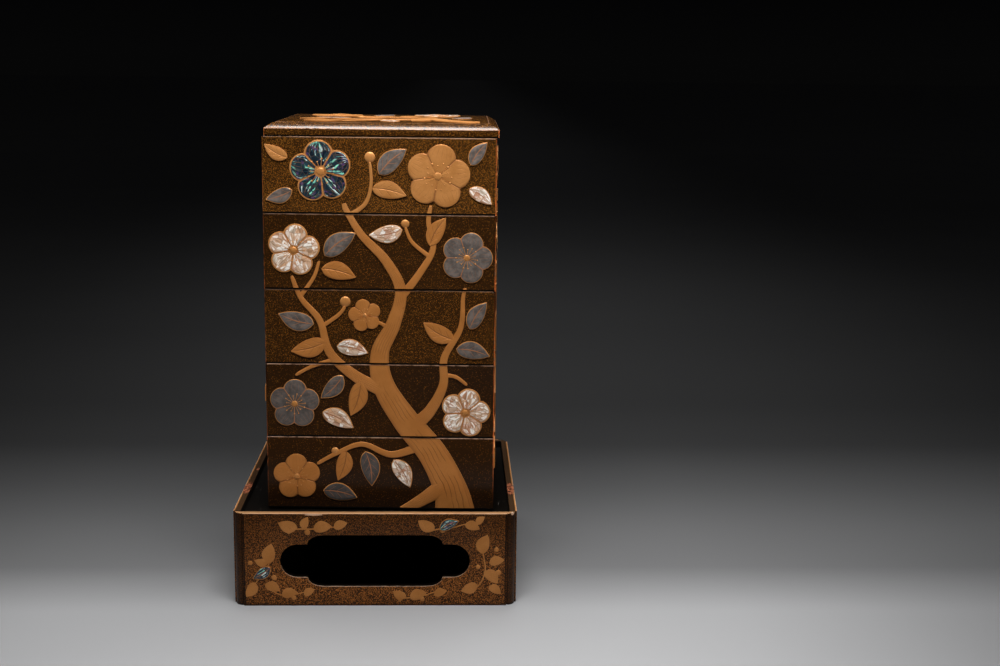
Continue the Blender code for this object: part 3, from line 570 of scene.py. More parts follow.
def placed(shift, turn):
    """A turn about the vertical, then a shift."""
    return Matrix.Translation(shift) @ Matrix.Rotation(turn, 4, "Z")


STACK = placed(STACK_SHIFT, STACK_TURN)


def own_axes(place, shift, turn):
    """The x, y and z of a piece that stands off the stand's middle and is turned, and its raggedness."""
    own = place.node("ShaderNodeMapping", {"vector_type": "TEXTURE"},
                     {"Vector": place, "Location": shift, "Rotation": (0, 0, turn)})
    return *own.parts(), own.noise(7 * MM, 4.0, 0.65)


def from_edge(x, y):
    """How far in from the nearest side of a tier or the lid a place is."""
    return (TIER_WIDTH / 2 - abs(x)).least(TIER_DEPTH / 2 - abs(y))


def painted_seam_shadow(colour, level, band, edge):
    """A painted shadow in the seam: the colour, darkened on the outside from the lower edge up to a level."""
    outside = edge.fall(0.5 * MM, 0.9 * MM)
    return (level.fall(band - 0.3 * MM, band) * outside).mix(colour, SEAM_PAINTED_SHADOW), outside


def red_slivers_and_rim_light(x, y, rag):
    """Red and pale slivers at the upright corners, partly rubbed through to red lacquer and partly painted
    rim light, so most on the right.
    """
    corner = (TIER_WIDTH / 2 - abs(x)).most(TIER_DEPTH / 2 - abs(y))
    upright = (corner + rag * 1.9 * MM).fall(1.3 * MM, 2.1 * MM)
    # Painted rim light: more and paler slivers on the right, where the light falls.
    right = x.fade(0, 10 * MM)
    rubbed = upright * (rag + right * 0.14).fade(0.4, 0.54) * (right * 0.5 + 0.5)
    return rubbed, rag.fade(0.54, 0.66).mix(*SLIVER_AND_RIM_LIGHT_TONES)


def tier_wear(place, colour, rub_and_highlight):
    """A painted seam shadow along the lower edge, pale lines along the upper arris that are partly rubbed
    wear and partly painted highlight, and red and pale slivers at the corners, partly painted rim light.
    """
    x, y, z, rag = own_axes(place, STACK_SHIFT, STACK_TURN)
    level = (z - STACK_BASE) % TIER_PITCH
    colour, outside = painted_seam_shadow(colour, level, SEAM_BAND, from_edge(x, y))
    # A pale line along the upper arris, partly rubbed wear and partly a painted highlight.
    top = (level - TIER_BODY + rag * 0.4 * MM).fade(-0.8 * MM, -0.4 * MM) * outside * rag.fade(0.3, 0.55)
    red, tone = red_slivers_and_rim_light(x, y, rag)
    red = red * z.fade(STACK_BASE, STACK_BASE + TIER_PITCH)
    colour = red.mix(colour, tone)
    colour = (top * rub_and_highlight).mix(colour, ARRIS_WEAR_AND_HIGHLIGHT)
    return colour, red.most(top)


def inset_and_push(test, inset, push):
    """Inset the faces that a test takes, and extrude what is left along Z."""
    pick(test)
    bpy.ops.mesh.inset(thickness=inset)
    bpy.ops.mesh.extrude_region_move(TRANSFORM_OT_translate={"value": (0, 0, push)})


def block(width, depth, height):
    """A box standing on the floor, with its scale applied."""
    let_go()
    bpy.ops.mesh.primitive_cube_add(size=1, location=(0, 0, height / 2), scale=(width, depth, height))
    bpy.ops.object.transform_apply()
    return bpy.context.object


def copy_of(piece, name, place):
    """A copy with its own mesh, moved to its place."""
    twin = linked(name, piece.data.copy())
    twin.data.transform(place)
    return twin


blank = block(TIER_WIDTH, TIER_DEPTH, TIER_BODY)
edit(blank)
pick(lambda place, way: abs(way.z) > 0.9, "EDGE")
bpy.ops.mesh.bevel(offset=TIER_CORNER, segments=2)
inset_and_push(lambda place, way: way.z > 0.9, TIER_WALL, TIER_FLOOR - TIER_BODY)
inset_and_push(lambda place, way: way.z < -0.9 and place.z < 1 * MM, FOOT_INSET, -FOOT_DROP)

for number in range(1, TIER_COUNT + 1):
    tier = copy_of(blank, f"tier_{number}_box", Matrix())
    rub_and_highlight = TIER_RUBS_AND_HIGHLIGHTS[number - 1]
    if number in TIER_CHIPS:
        side, size = TIER_CHIPS[number]
        edit(tier)
        pick(lambda place, way: place.z > TIER_BODY - 1 * MM and place.x * side > TIER_WIDTH / 2 - 2 * MM
             and place.y < 2 * MM - TIER_DEPTH / 2, "VERT")
        bpy.ops.mesh.bevel(offset=size, affect="VERTICES")
    ease(tier, TIER_ARRIS, 2)
    tier.data.materials.append(sprinkled_lacquer(f"tier {number} lacquer", TIER_GROUND, TIER_GOLD,
                                                 TIER_SHARES_AND_SHADE[number - 1], TIER_FLAKE,
                                                 lambda place, colour: tier_wear(place, colour, rub_and_highlight)))
    tier.data.materials.append(black_lacquer(f"tier {number} inside", 0.6))
    paint(tier, 1, lambda place, way: place.z > 1 * MM
          and max(abs(place.x) - TIER_WIDTH / 2, abs(place.y) - TIER_DEPTH / 2) < 0.4 * MM - TIER_WALL)
    level = STACK_BASE + (number - 1) * TIER_PITCH
    tier.data.transform(STACK @ Matrix.Translation((0, 0, level)))
    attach(tier, "root")
    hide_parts(f"tier_{number}")
bpy.data.objects.remove(blank)


# The lid, a board with a softly swelling bevel round its top and a flange underneath that sits
# loosely in the top tier's mouth, so that it lies pushed back and a little turned. It is finished
# as the tiers are, but glossier, and rubbed pale along the bevel's edges.

LID_SIDE = 7.5 * MM
LID_RISE = 5.4 * MM
LID_BEVEL = 10 * MM
LID_SWELL = 0.8 * MM
LID_STEPS = 5
LID_SHARE = 0.16
LID_SHADOW_BAND = 1.3 * MM
BEVEL_WEAR = (0.42, 0.22, 0.13)
LID_BOARD = 6 * MM
LID_INSET = 12.5 * MM
LID_FLANGE = 3.5 * MM
LID_SHIFT = Vector((0, 2.3 * MM, 0))
LID_TURN = math.radians(1.2)
LID_PLACE = placed(LID_SHIFT, LID_TURN)
LID_BASE = STACK_BASE + TIER_COUNT * TIER_PITCH
LID_TOP = LID_BASE + LID_SIDE + LID_RISE


def lid_wear(place, colour):
    """A painted seam shadow along the lower edge, pale rubbed lines along the bevel's two edges, and redder
    corners, partly painted rim light.
    """
    x, y, z, rag = own_axes(place, STACK @ LID_SHIFT, STACK_TURN + LID_TURN)
    level = z - LID_BASE
    edge = from_edge(x, y)
    colour, _ = painted_seam_shadow(colour, level, LID_SHADOW_BAND, edge)
    lower = (edge + rag * 0.8 * MM).fall(0.6 * MM, 1.4 * MM) * level.fade(LID_SIDE - 0.8 * MM, LID_SIDE)
    upper = abs(edge - LID_BEVEL + rag * 0.6 * MM).fall(0.2 * MM, 0.8 * MM) * 0.5
    rubbed = lower.most(upper) * rag.fade(0.3, 0.55) * 0.8
    red, tone = red_slivers_and_rim_light(x, y, rag)
    colour = red.mix(colour, tone)
    colour = rubbed.mix(colour, BEVEL_WEAR)
    return colour, rubbed.most(red)


lid = block(TIER_WIDTH, TIER_DEPTH, LID_SIDE)
lid.name = "lid_board"
edit(lid)
inset_and_push(lambda place, way: way.z < -0.9, LID_INSET, -FOOT_DROP)
inset_and_push(lambda place, way: way.z < -0.9 and place.z < -1 * MM, LID_FLANGE,
               FOOT_DROP + LID_SIDE + LID_RISE - LID_BOARD)
pick(lambda place, way: way.z > 0.9 and place.z > LID_SIDE - 1 * MM)
for step in range(LID_STEPS):
    start, end = step / LID_STEPS, (step + 1) / LID_STEPS
    rise = LID_RISE / LID_STEPS + LID_SWELL * (math.sin(math.pi * end) - math.sin(math.pi * start))
    inset = LID_BEVEL / LID_STEPS
    left = TIER_WIDTH / 2 - inset * step
    deep = TIER_DEPTH / 2 - inset * step
    bpy.ops.mesh.extrude_region_move(TRANSFORM_OT_translate={"value": (0, 0, rise)})
    drawn_in = ((left - inset) / left, (deep - inset) / deep, 1)
    bpy.ops.transform.resize(value=drawn_in, center_override=(0, 0, 0))
ease(lid, 0.5 * MM, 2, 34)
lid.data.materials.append(sprinkled_lacquer("lid lacquer", TIER_GROUND, TIER_GOLD, LID_SHARE, TIER_FLAKE,
                                            lid_wear, rough=0.15, gloss=0.6))
lid.data.transform(STACK @ LID_PLACE @ Matrix.Translation((0, 0, LID_BASE)))
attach(lid, "root")
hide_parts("lid")


# The picture, a plum tree that climbs the front and reaches round the sides. Across runs from -1
# to 1 over a face and height counts tiers; on the lid both run from the middle to the field's edge.
# Its trunk and twigs are built up in gold lacquer with rounded edges, the trunk engraved as bark.

MOTIF = min(TIER_PITCH, TIER_WIDTH * 0.328)
LID_FIELD = min(TIER_WIDTH, TIER_DEPTH) / 2 - LID_BEVEL
GOLD_CREST = 1.1 * MM
LOW_CREST = GOLD_CREST - 0.2 * MM
GOLD_ROOT = 0.7 * MM
BRANCH_ROUND = 0.7 * MM
ROUTE_STEPS = 8
BARK_LEAST = 0.14
SMOOTH = math.radians(60)
LOWER_GOLD = (0.5, 0.165, 0.028)
GOLD_RIM = (0.3, 0.105, 0.028)
GOLD_CUT = (0.15, 0.05, 0.014)
GOLD_AT_SEAM = (0.2, 0.075, 0.024)
BRANCHES = {
    "front": [
        [(0.66, -0.06, 0.56), (0.62, 0.28, 0.45), (0.46, 0.78, 0.39), (0.22, 1.24, 0.35),
         (0.03, 1.72, 0.29), (0.0, 2.16, 0.24), (0.12, 2.56, 0.19), (0.18, 3.0, 0.15),
         (0.05, 3.4, 0.125), (-0.15, 3.72, 0.1), (-0.28, 4.04, 0.08), (-0.3, 4.14, 0.06)],
        [(0.54, 0.3, 0.24), (0.36, 0.12, 0.17), (0.16, -0.06, 0.13)],
        [(0.24, 1.12, 0.2), (0.42, 1.34, 0.16), (0.55, 1.72, 0.12), (0.56, 2.1, 0.1),
         (0.7, 2.5, 0.075), (0.72, 2.9, 0.055), (0.74, 3.04, 0.05)],
        [(0.06, 1.62, 0.19), (-0.22, 1.84, 0.15), (-0.44, 2.16, 0.115), (-0.52, 2.58, 0.09),
         (-0.68, 2.88, 0.07), (-0.76, 3.18, 0.055)],
        [(0.38, 0.9, 0.13), (0.1, 0.76, 0.09), (-0.16, 0.9, 0.07), (-0.4, 0.76, 0.06),
         (-0.56, 0.62, 0.05)],
        [(0.16, 2.86, 0.12), (0.34, 3.22, 0.095), (0.46, 3.56, 0.08), (0.42, 3.9, 0.065),
         (0.44, 4.12, 0.055)],
        [(-0.26, 3.98, 0.065), (-0.12, 4.14, 0.055), (-0.07, 4.4, 0.045), (-0.08, 4.68, 0.04)],
        [(-0.68, 2.92, 0.06), (-0.57, 3.16, 0.05), (-0.52, 3.38, 0.04)],
        [(-0.51, 2.5, 0.06), (-0.36, 2.66, 0.05), (-0.3, 2.78, 0.045)],
        [(0.1, 2.48, 0.06), (0.0, 2.56, 0.045), (-0.08, 2.62, 0.04)],
        [(-0.4, 2.06, 0.06), (-0.6, 1.96, 0.05), (-0.74, 1.84, 0.045)],
        [(0.55, 1.86, 0.06), (0.66, 1.84, 0.05), (0.76, 1.73, 0.045)],
        [(0.44, 3.44, 0.06), (0.28, 3.64, 0.05), (0.22, 3.84, 0.04)],
    ],
    "right": [
        [(-1.1, 0.6, 0.24), (-0.66, 1.12, 0.18), (-0.36, 1.8, 0.15), (-0.3, 2.5, 0.11),
         (0.0, 3.1, 0.085), (0.2, 3.7, 0.065), (0.26, 4.2, 0.05)],
        [(-0.34, 1.9, 0.12), (0.06, 2.08, 0.09), (0.4, 1.96, 0.07), (0.64, 1.7, 0.05)],
        [(-0.3, 2.6, 0.09), (-0.52, 2.95, 0.065), (-0.6, 3.3, 0.05)],
        [(0.03, 3.14, 0.07), (0.36, 3.12, 0.055), (0.6, 3.36, 0.045)],
    ],
    "left": [
        [(1.1, 1.5, 0.2), (0.62, 1.86, 0.15), (0.2, 2.3, 0.12), (-0.1, 2.9, 0.09),
         (-0.2, 3.5, 0.07), (-0.1, 4.1, 0.05)],
        [(0.3, 2.2, 0.09), (-0.16, 2.1, 0.07), (-0.5, 2.24, 0.05)],
        [(-0.16, 3.2, 0.07), (-0.44, 3.4, 0.055), (-0.56, 3.62, 0.045)],
        [(0.7, 1.8, 0.08), (0.42, 1.42, 0.06), (0.1, 1.2, 0.045)],
    ],
    "back": [
        [(0.8, -0.06, 0.18), (0.5, 0.84, 0.13), (0.14, 1.7, 0.1), (-0.1, 2.5, 0.075), (-0.16, 3.2, 0.05)],
        [(0.1, 1.8, 0.07), (0.4, 2.3, 0.055), (0.52, 2.8, 0.045)],
    ],
    "lid": [
        [(0.98, -0.92, 0.34), (0.66, -0.56, 0.27), (0.5, -0.16, 0.2), (0.2, 0.14, 0.15),
         (-0.16, 0.24, 0.1), (-0.4, 0.4, 0.07)],
        [(0.5, -0.2, 0.15), (0.1, -0.4, 0.1), (-0.3, -0.36, 0.075), (-0.6, -0.22, 0.055)],
        [(0.36, 0.02, 0.11), (0.5, 0.24, 0.08), (0.52, 0.36, 0.05)],
        [(-0.04, -0.4, 0.065), (-0.26, -0.6, 0.055), (-0.44, -0.68, 0.045)],
    ],
}

gold_work = {face: [] for face in BRANCHES}


def half_width(face):
    if face == "lid":
        return LID_FIELD
    return (TIER_DEPTH if face in ("left", "right") else TIER_WIDTH) / 2


def spot(face, across, height):
    """A place in the picture, in metres along and up the face."""
    return Vector((across * half_width(face), height * (LID_FIELD if face == "lid" else TIER_PITCH)))


def smooth_route(points, steps):
    """A smooth curve through a branch's points, as rows of (along, up, width)."""
    padded = [points[0]] + points + [points[-1]]
    route = []
    for i in range(1, len(padded) - 2):
        before, start, end, after = (Vector(point) for point in padded[i - 1:i + 3])
        for step in range(steps):
            t = step / steps
            route.append(0.5 * (2 * start + (end - before) * t
                                + (2 * before - 5 * start + 4 * end - after) * t ** 2
                                + (3 * start - before - 3 * end + after) * t ** 3))
    route.append(Vector(points[-1]))
    return route


def engraved_gold(name, lines, share, depth):
    """Gold lacquer, redder on the lower tiers and at its rims, darker just below each seam, with lines cut
    in.
    """
    place = new_material(name)
    tone, grain = gold_tone(place)
    height = place.parts()[2]
    lower = height.fall(STACK_BASE + 3.6 * TIER_PITCH, STACK_BASE + 4.3 * TIER_PITCH)
    tone = (lower * 0.5).mix(tone, LOWER_GOLD)
    rim = abs(on_map(place)[1] - 0.5).fade(0.36, 0.5) * 0.45
    tone = rim.mix(tone, GOLD_RIM)
    cut = lines(place)
    tone = (cut * share).mix(tone, GOLD_CUT)
    level = (height - STACK_BASE) % TIER_PITCH
    seam = level.fade(TIER_BODY - 1.6 * MM, TIER_BODY - 0.8 * MM) * 0.7
    tone = seam.mix(tone, GOLD_AT_SEAM)
    return surface(place, tone, 0.35, 0.42 + cut * 0.1, 0.3, grain * 0.15 - cut, depth)


def on_map(place):
    """Along and across a strip, a leaf or a petal, each from 0 to 1."""
    along, across, _ = place.node("ShaderNodeTexCoord", out="UV").parts()
    return along, across


def bark_lines(place):
    """Long wavering lines that follow the trunk's outline, broken here and there."""
    across = on_map(place)[1]
    wave = place.noise(30 * MM, 2.0) * 0.5 + place.noise(9 * MM) * 0.04
    lanes = abs((across * 7 + wave * 3.2) % 1 - 0.5)
    kept = place.noise(24 * MM).fade(0.38, 0.5)
    return lanes.fall(0.03, 0.11) * kept * abs(across - 0.5).fall(0.34, 0.48)


def no_lines(place):
    """The twigs are left plain."""
    return on_map(place)[1] * 0


GOLD = gold_lacquer("gold lacquer")
TWIG = engraved_gold("gold twigs", no_lines, 0.0, 0.1 * MM)
BARK = engraved_gold("gold bark", bark_lines, 0.5, 0.2 * MM)


def raise_up(piece, crest, root, round_off, material):
    """Thicken a flat sheet down to its root in the lacquer, lift it to its crest, and round its rim."""
    piece.data.materials.append(material)
    piece.data.transform(Matrix.Translation((0, 0, crest)))
    finish_with(piece, "SOLIDIFY", thickness=crest + root, offset=-1)
    finish_with(piece, "BEVEL", width=round_off, segments=3, limit_method="ANGLE",
                angle_limit=math.radians(55))
    bpy.ops.object.shade_smooth_by_angle(angle=SMOOTH)
    return piece


def sheet_of(columns, rows):
    """A flat grid from 0 to 1 along X and from -0.5 to 0.5 across, in edit mode."""
    let_go()
    bpy.ops.mesh.primitive_grid_add(x_subdivisions=columns, y_subdivisions=rows, size=1, location=(0.5, 0, 0))
    bpy.ops.object.transform_apply()
    piece = bpy.context.object
    set_mode("EDIT_MESH")
    return piece


def at(value, wanted):
    return abs(value - wanted) < 1e-4


def crown(rises):
    """Lift the rows of a sheet, listed by how far aside they are."""
    for aside, rise in rises.items():
        pick(lambda place, way: at(abs(place.y), aside), "VERT")
        bpy.ops.transform.translate(value=(0, 0, rise * MM))


def shape_columns(widths, places):
    """Make each column of a sheet as wide as listed, and move it to its place along X."""
    last = len(widths) - 1
    for column, width in enumerate(widths):
        pick(lambda place, way: at(place.x, column / last), "VERT")
        bpy.ops.transform.resize(value=(1, width, 1), center_override=(0, 0, 0))
    for column, place_x in enumerate(places):
        pick(lambda place, way: at(place.x, column / last), "VERT")
        bpy.ops.transform.translate(value=(10 + place_x - column / last, 0, 0))
    bpy.ops.mesh.select_all(action="SELECT")
    bpy.ops.transform.translate(value=(-10, 0, 0))


def drawn_line(name, points):
    """A curve's data, straight from point to point on the plane of the picture."""
    drawn = bpy.data.curves.new(name, "CURVE")
    line = drawn.splines.new("POLY")
    line.points.add(len(points) - 1)
    for point, (x, y) in zip(line.points, points):
        point.co = (x, y, 0, 1)
    return drawn


def branch(face, points):
    """A strip as wide as the branch, crowned, thickened, and bent along the branch's route."""
    places = []
    for across, height, width in points:
        place = spot(face, across, height)
        places.append((place.x, place.y, width * MOTIF))
    route = smooth_route(places, ROUTE_STEPS)
    lengths = [0.0]
    for start, end in zip(route, route[1:]):
        lengths.append(lengths[-1] + (end - start).to_2d().length)
    widths = [here.z for here in route]
    widths[-1] *= 0.5
    widths[-2] *= 0.85
    thick = points[0][2] > BARK_LEAST
    piece = sheet_of(len(route) - 1, 4)
    crown({0: 0.2, 0.25: 0.14})
    shape_columns(widths, lengths)
    set_mode("OBJECT")
    crest, material = (GOLD_CREST, BARK) if thick else (LOW_CREST, TWIG)
    raise_up(piece, crest, GOLD_ROOT, BRANCH_ROUND, material)
    guide = linked("route", drawn_line("route", [here.to_2d() for here in route]))
    finish_with(piece, "CURVE", object=guide, deform_axis="POS_X")
    bpy.data.objects.remove(guide)
    return piece


for face, branches in BRANCHES.items():
    for points in branches:
        gold_work[face].append(branch(face, points))


# The leaves, pointed and bent a little, with a folded middle. Some are gold lacquer, engraved with
# veins; the others are cut from pewter or pearl shell and set on a gold bed that shows as a thin
# outline, with their veins drawn in gold.

LEAF_WIDTH = 0.52
LEAF_BEND = 0.06
LEAF_COLUMNS = 18
SHEET_ROWS = 8
GOLD_ROUND = 0.6 * MM
BED_EDGE = 0.6 * MM
BED_CREST = 0.8 * MM
BED_ROUND = 0.3 * MM
INLAY_BASE = 0.3 * MM
INLAY_EDGE = 0.95 * MM
INLAY_ROUND = 0.2 * MM
FACE_TURNS = {"front": 0, "right": 90, "back": 180, "left": 270}
UPRIGHT = Matrix(((1, 0, 0), (0, 0, -1), (0, 1, 0))).to_4x4()
PEWTER_CLOUDS = ((0.09, 0.075, 0.065), (0.205, 0.168, 0.146))
PEWTER_BLOOM = (0.3, 0.17, 0.11)
PEWTER_PAINTED_SHADE = (0.042, 0.04, 0.04)
PEARL_TINTS = ((0.66, 0.37, 0.2), (0.6, 0.42, 0.3))
PEARL_WARM = (0.5, 0.2, 0.1)
PEARL_GREEN = (0.36, 0.46, 0.4)
PEARL_PAINTED_SHEEN = (1.0, 0.93, 0.85)
PEARL_SHADE = (0.24, 0.14, 0.08)
ABALONE_TINTS = ((0.009, 0.016, 0.026), (0.016, 0.032, 0.044))
ABALONE_RAY = (0.04, 0.13, 0.16)
ABALONE_PURPLE = (0.13, 0.06, 0.2)
ABALONE_PAINTED_GLINTS = ((0.75, 0.95, 0.9), (0.3, 0.85, 0.62))
PEARL_SEAM = (0.25, 0.12, 0.05)
ABALONE_SEAM = (0.16, 0.09, 0.04)
PEWTER_LINES = (0.36, 0.15, 0.07)
PEARL_LINES = (0.34, 0.13, 0.05)
ABALONE_LINES = (0.4, 0.16, 0.06)
LEAVES = {
    ("front", "pewter"): [
        (0.0, 4.53, 42, 0.46), (-0.75, 4.3, 200, 0.34), (0.78, 4.66, 54, 0.34), (-0.47, 3.46, 36, 0.48),
        (0.78, 2.5, 58, 0.4), (-0.58, 2.54, 164, 0.46), (0.67, 2.22, -12, 0.43), (-0.33, 1.83, -134, 0.4),
        (-0.13, 0.79, -80, 0.46), (-0.5, 0.25, -12, 0.44)],
    ("front", "gold"): [
        (-0.06, 4.34, -12, 0.45), (-0.78, 4.72, 150, 0.34), (-0.5, 3.28, -14, 0.46), (0.43, 3.6, 60, 0.42),
        (0.64, 2.34, 150, 0.46), (-0.47, 2.3, 196, 0.48), (-0.17, 1.76, -106, 0.48),
        (-0.3, 0.8, -106, 0.42)],
    ("front", "pearl"): [
        (0.77, 4.34, -34, 0.34), (0.19, 3.8, -170, 0.42), (-0.37, 2.24, -12, 0.4), (-0.5, 1.34, -28, 0.44),
        (0.12, 0.68, -60, 0.42)],
    ("right", "pewter"): [(-0.15, 2.62, -14, 0.42), (0.16, 1.84, -50, 0.4)],
    ("right", "gold"): [(-0.62, 1.26, 130, 0.4), (0.24, 3.7, 150, 0.4), (0.6, 3.36, 30, 0.4)],
    ("left", "gold"): [(-0.56, 3.6, 110, 0.34), (0.1, 1.2, 200, 0.42), (0.56, 1.96, 100, 0.4)],
    ("left", "pewter"): [(0.06, 2.66, 30, 0.42)],
    ("back", "gold"): [(0.52, 2.76, 70, 0.4), (-0.06, 2.3, 170, 0.4), (0.34, 1.2, 150, 0.42)],
    ("lid", "pewter"): [(-0.12, 0.42, 64, 0.46), (-0.4, -0.04, 172, 0.46), (0.78, -0.1, 72, 0.48)],
    ("lid", "gold"): [
        (0.02, 0.12, -150, 0.46), (-0.6, -0.22, 196, 0.42), (-0.44, -0.68, 190, 0.5), (0.14, 0.2, 48, 0.44),
        (0.42, -0.36, -108, 0.5)],
    ("lid", "pearl"): [(0.0, -0.56, -72, 0.44)],
}


def leaf_veins(place):
    """A midrib and slanting side veins, drawn on the leaf's own map."""
    along, across = on_map(place)
    aside = abs(across - 0.5)
    midrib = aside.fall(0.018, 0.045) * along.fall(0.88, 0.94)
    slant = abs((along * 4.2 - aside * 2.6) % 1 - 0.5)
    side = slant.fall(0.025, 0.075) * aside.fall(0.3, 0.4) * along.fade(0.06, 0.12)
    return midrib.most(side * along.fall(0.7, 0.8) * 0.6)


def petal_lines(place):
    """Thin lines where a blossom's petals meet, and fainter ones that run out along each petal."""
    along, across = on_map(place)
    meet = abs(across - 0.5).fade(0.455, 0.485) * along.fall(0.52, 0.6)
    ray = abs((across * 6 + 0.5) % 1 - 0.5)
    rays = ray.fall(0.03, 0.1) * along.fade(0.3, 0.5) * along.fall(0.62, 0.8)
    return meet.most(rays * 0.35)


def pewter(name, lines):
    """Dulled pewter sheet, cloudy and finely scratched, with painted shade darkening it low down, its lines
    rubbed with gold.
    """
    place = new_material(name)
    cloud = place.noise(7 * MM, 4.0, 0.65).fade(0.3, 0.72)
    body = cloud.mix(*PEWTER_CLOUDS)
    bloom = place.noise(3.5 * MM, 4.0, 0.65).fade(0.58, 0.72) * 0.4
    body = bloom.mix(body, PEWTER_BLOOM)
    # Painted shade: the lower tiers get less light.
    low = place.parts()[2].fall(STACK_BASE, STACK_BASE + 3 * TIER_PITCH)
    body = (low * 0.6).mix(body, PEWTER_PAINTED_SHADE)
    brushed = place.noise(0.9 * MM, 2.0)
    drawn = lines(place)
    colour = drawn.mix(body, PEWTER_LINES)
    return surface(place, colour, 0.3, 0.42 + brushed * 0.16, 0.3, brushed * 0.25 + drawn, 0.1 * MM)


def shards(place, size):
    """Three random numbers for each splinter of a mosaic, and a mask of the seams between them."""
    seams = place.cells(size, "DISTANCE_TO_EDGE").fall(0.015, 0.05)
    return *place.cells(size).beside("Color").parts(), seams


def pearl(name, lines):
    """Mosaic of pearl shell: pale splinters of many tints, some with a painted sheen and others with painted
    shade.
    """
    place = new_material(name)
    tint, bright, warm, seams = shards(place, 6.5 * MM)
    along, across = on_map(place)
    grain = place.node("ShaderNodeCombineXYZ", {}, {0: along * 1.4 + tint * 9, 1: across * 5 + bright * 7})
    wave = grain.noise(1.0, 4.0, 0.6)
    body = tint.mix(*PEARL_TINTS)
    body = (warm.fade(0.65, 0.85) * 0.65).mix(body, PEARL_WARM)
    body = (tint.fade(0.8, 0.95) * 0.3).mix(body, PEARL_GREEN)
    # Painted sheen and painted shade in waves across the splinters.
    body = (wave.fade(0.47, 0.57) * (bright.fade(0.1, 0.6) * 0.85 + 0.15)).mix(body, PEARL_PAINTED_SHEEN)
    body = (wave.fall(0.34, 0.44) * 0.7).mix(body, PEARL_SHADE)
    body = (seams * 0.5).mix(body, PEARL_SEAM)
    body = lines(place).mix(body, PEARL_LINES)
    return surface(place, body, 0.1, 0.22 + wave * 0.12, height=wave, depth=0.12 * MM, coat=0.3)


def abalone(name, lines):
    """Dark sea-green abalone with rays of bright teal that fan out, painted glints along the brightest rays,
    cut by a few fine seams.
    """
    place = new_material(name)
    x, _, z = place.parts()
    along, across = on_map(place)
    fan = place.node("ShaderNodeCombineXYZ", {}, {0: along * 1.6, 1: across * 9, 2: x * 60 + z * 50})
    ray = fan.noise(1.0, 3.0, 0.6)
    tint, bright, _, seams = shards(place, 6 * MM)
    body = tint.mix(*ABALONE_TINTS)
    body = (ray.fade(0.47, 0.6) * bright.fade(0.2, 0.75) * 0.8).mix(body, ABALONE_RAY)
    body = (place.noise(4 * MM).fade(0.56, 0.66) * 0.6).mix(body, ABALONE_PURPLE)
    painted_glint = tint.fade(0.4, 0.6).mix(*ABALONE_PAINTED_GLINTS)
    body = (ray.fade(0.56, 0.61) * bright.fade(0.3, 0.65)).mix(body, painted_glint)
    body = (seams * 0.4).mix(body, ABALONE_SEAM)
    body = lines(place).mix(body, ABALONE_LINES)
    return surface(place, body, 0.2, 0.24, height=ray, depth=0.1 * MM, coat=0.3)


VEINED_GOLD = engraved_gold("veined gold", leaf_veins, 0.55, 0.2 * MM)
FINISHES = {"pewter": pewter, "pearl": pearl, "abalone": abalone}


def leaf_fullness(t):
    return t ** 0.65 * (1 - t) ** 0.9


flat_leaf = sheet_of(LEAF_COLUMNS, SHEET_ROWS)
crown({0.375: 0.16, 0.25: 0.19, 0.125: 0.13})
shares = [column / LEAF_COLUMNS for column in range(LEAF_COLUMNS + 1)]
shape_columns([max(LEAF_WIDTH * leaf_fullness(t) / leaf_fullness(0.65 / 1.55), 0.03) for t in shares], shares)
for t in shares:
    pick(lambda place, way: at(place.x, t), "VERT")
    bpy.ops.transform.translate(value=(0, LEAF_BEND * math.sin(math.pi * t), 0))
set_mode("OBJECT")


def leaf(name, stem, turn, length, wide=1.0, margin=0.0):
    """A flat leaf of the given length, or one a margin larger all round."""
    grown = length + 3 * margin
    swell = 1 + 2 * margin / (LEAF_WIDTH * length * wide)
    size = Matrix.Diagonal((grown, length * wide * swell, 1, 1))
    back = Matrix.Translation((-1.2 * margin, 0, 0))
    return copy_of(flat_leaf, name, placed(stem.to_3d(), turn) @ back @ size)


def face_place(face):
    """A matrix that takes (along, up, out) on one face of the stack to the room."""
    if face == "lid":
        return STACK @ LID_PLACE @ Matrix.Translation((0, 0, LID_TOP))
    out = (TIER_DEPTH if face in ("front", "back") else TIER_WIDTH) / 2
    turned = placed((0, 0, STACK_BASE), math.radians(FACE_TURNS[face]))
    return STACK @ turned @ Matrix.Translation((0, -out, 0)) @ UPRIGHT


def inlay_from(sheet, material):
    """A plate cut from thin sheet, set just into the lacquer, its rim barely eased."""
    return raise_up(sheet, INLAY_EDGE, -INLAY_BASE, INLAY_ROUND, material)


def set_in(piece, node, place):
    """Put an inlay in its place, where it stands for its node."""
    piece.data.transform(place)
    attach(piece, "root")
    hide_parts(node)


def bed_from(sheet):
    """The gold bed under an inlay, whose rim shows as its outline."""
    return raise_up(sheet, BED_CREST, GOLD_ROOT, BED_ROUND, GOLD)


def inlaid_leaf(node, stem, turn, length, finish, place):
    """Set a leaf of pewter or shell in its place, and give back the gold bed that goes under it."""
    bed = bed_from(leaf("bed", stem, turn, length, margin=BED_EDGE))
    material = FINISHES[finish](node.replace("_", " "), leaf_veins)
    set_in(inlay_from(leaf(f"{node}_plate", stem, turn, length), material), node, place)
    return bed


counts = {}
for (face, finish), leaves in LEAVES.items():
    for across, height, turn, length in leaves:
        stem = spot(face, across, height)
        way = math.radians(turn)
        size = length * MOTIF
        if finish == "gold":
            sheet = leaf("leaf", stem, way, size)
            piece = raise_up(sheet, GOLD_CREST, GOLD_ROOT, GOLD_ROUND, VEINED_GOLD)
        else:
            counts[finish] = counts.get(finish, 0) + 1
            node = f"{finish}_leaf_{counts[finish]}"
            piece = inlaid_leaf(node, stem, way, size, finish, face_place(face))
        gold_work[face].append(piece)


# The blossoms, five round petals that dome and meet in valleys, with a ring of stamens and a boss
# at the heart. Gold and pewter ones are one plate; shell ones are five cut petals, each in its own
# gold outline.

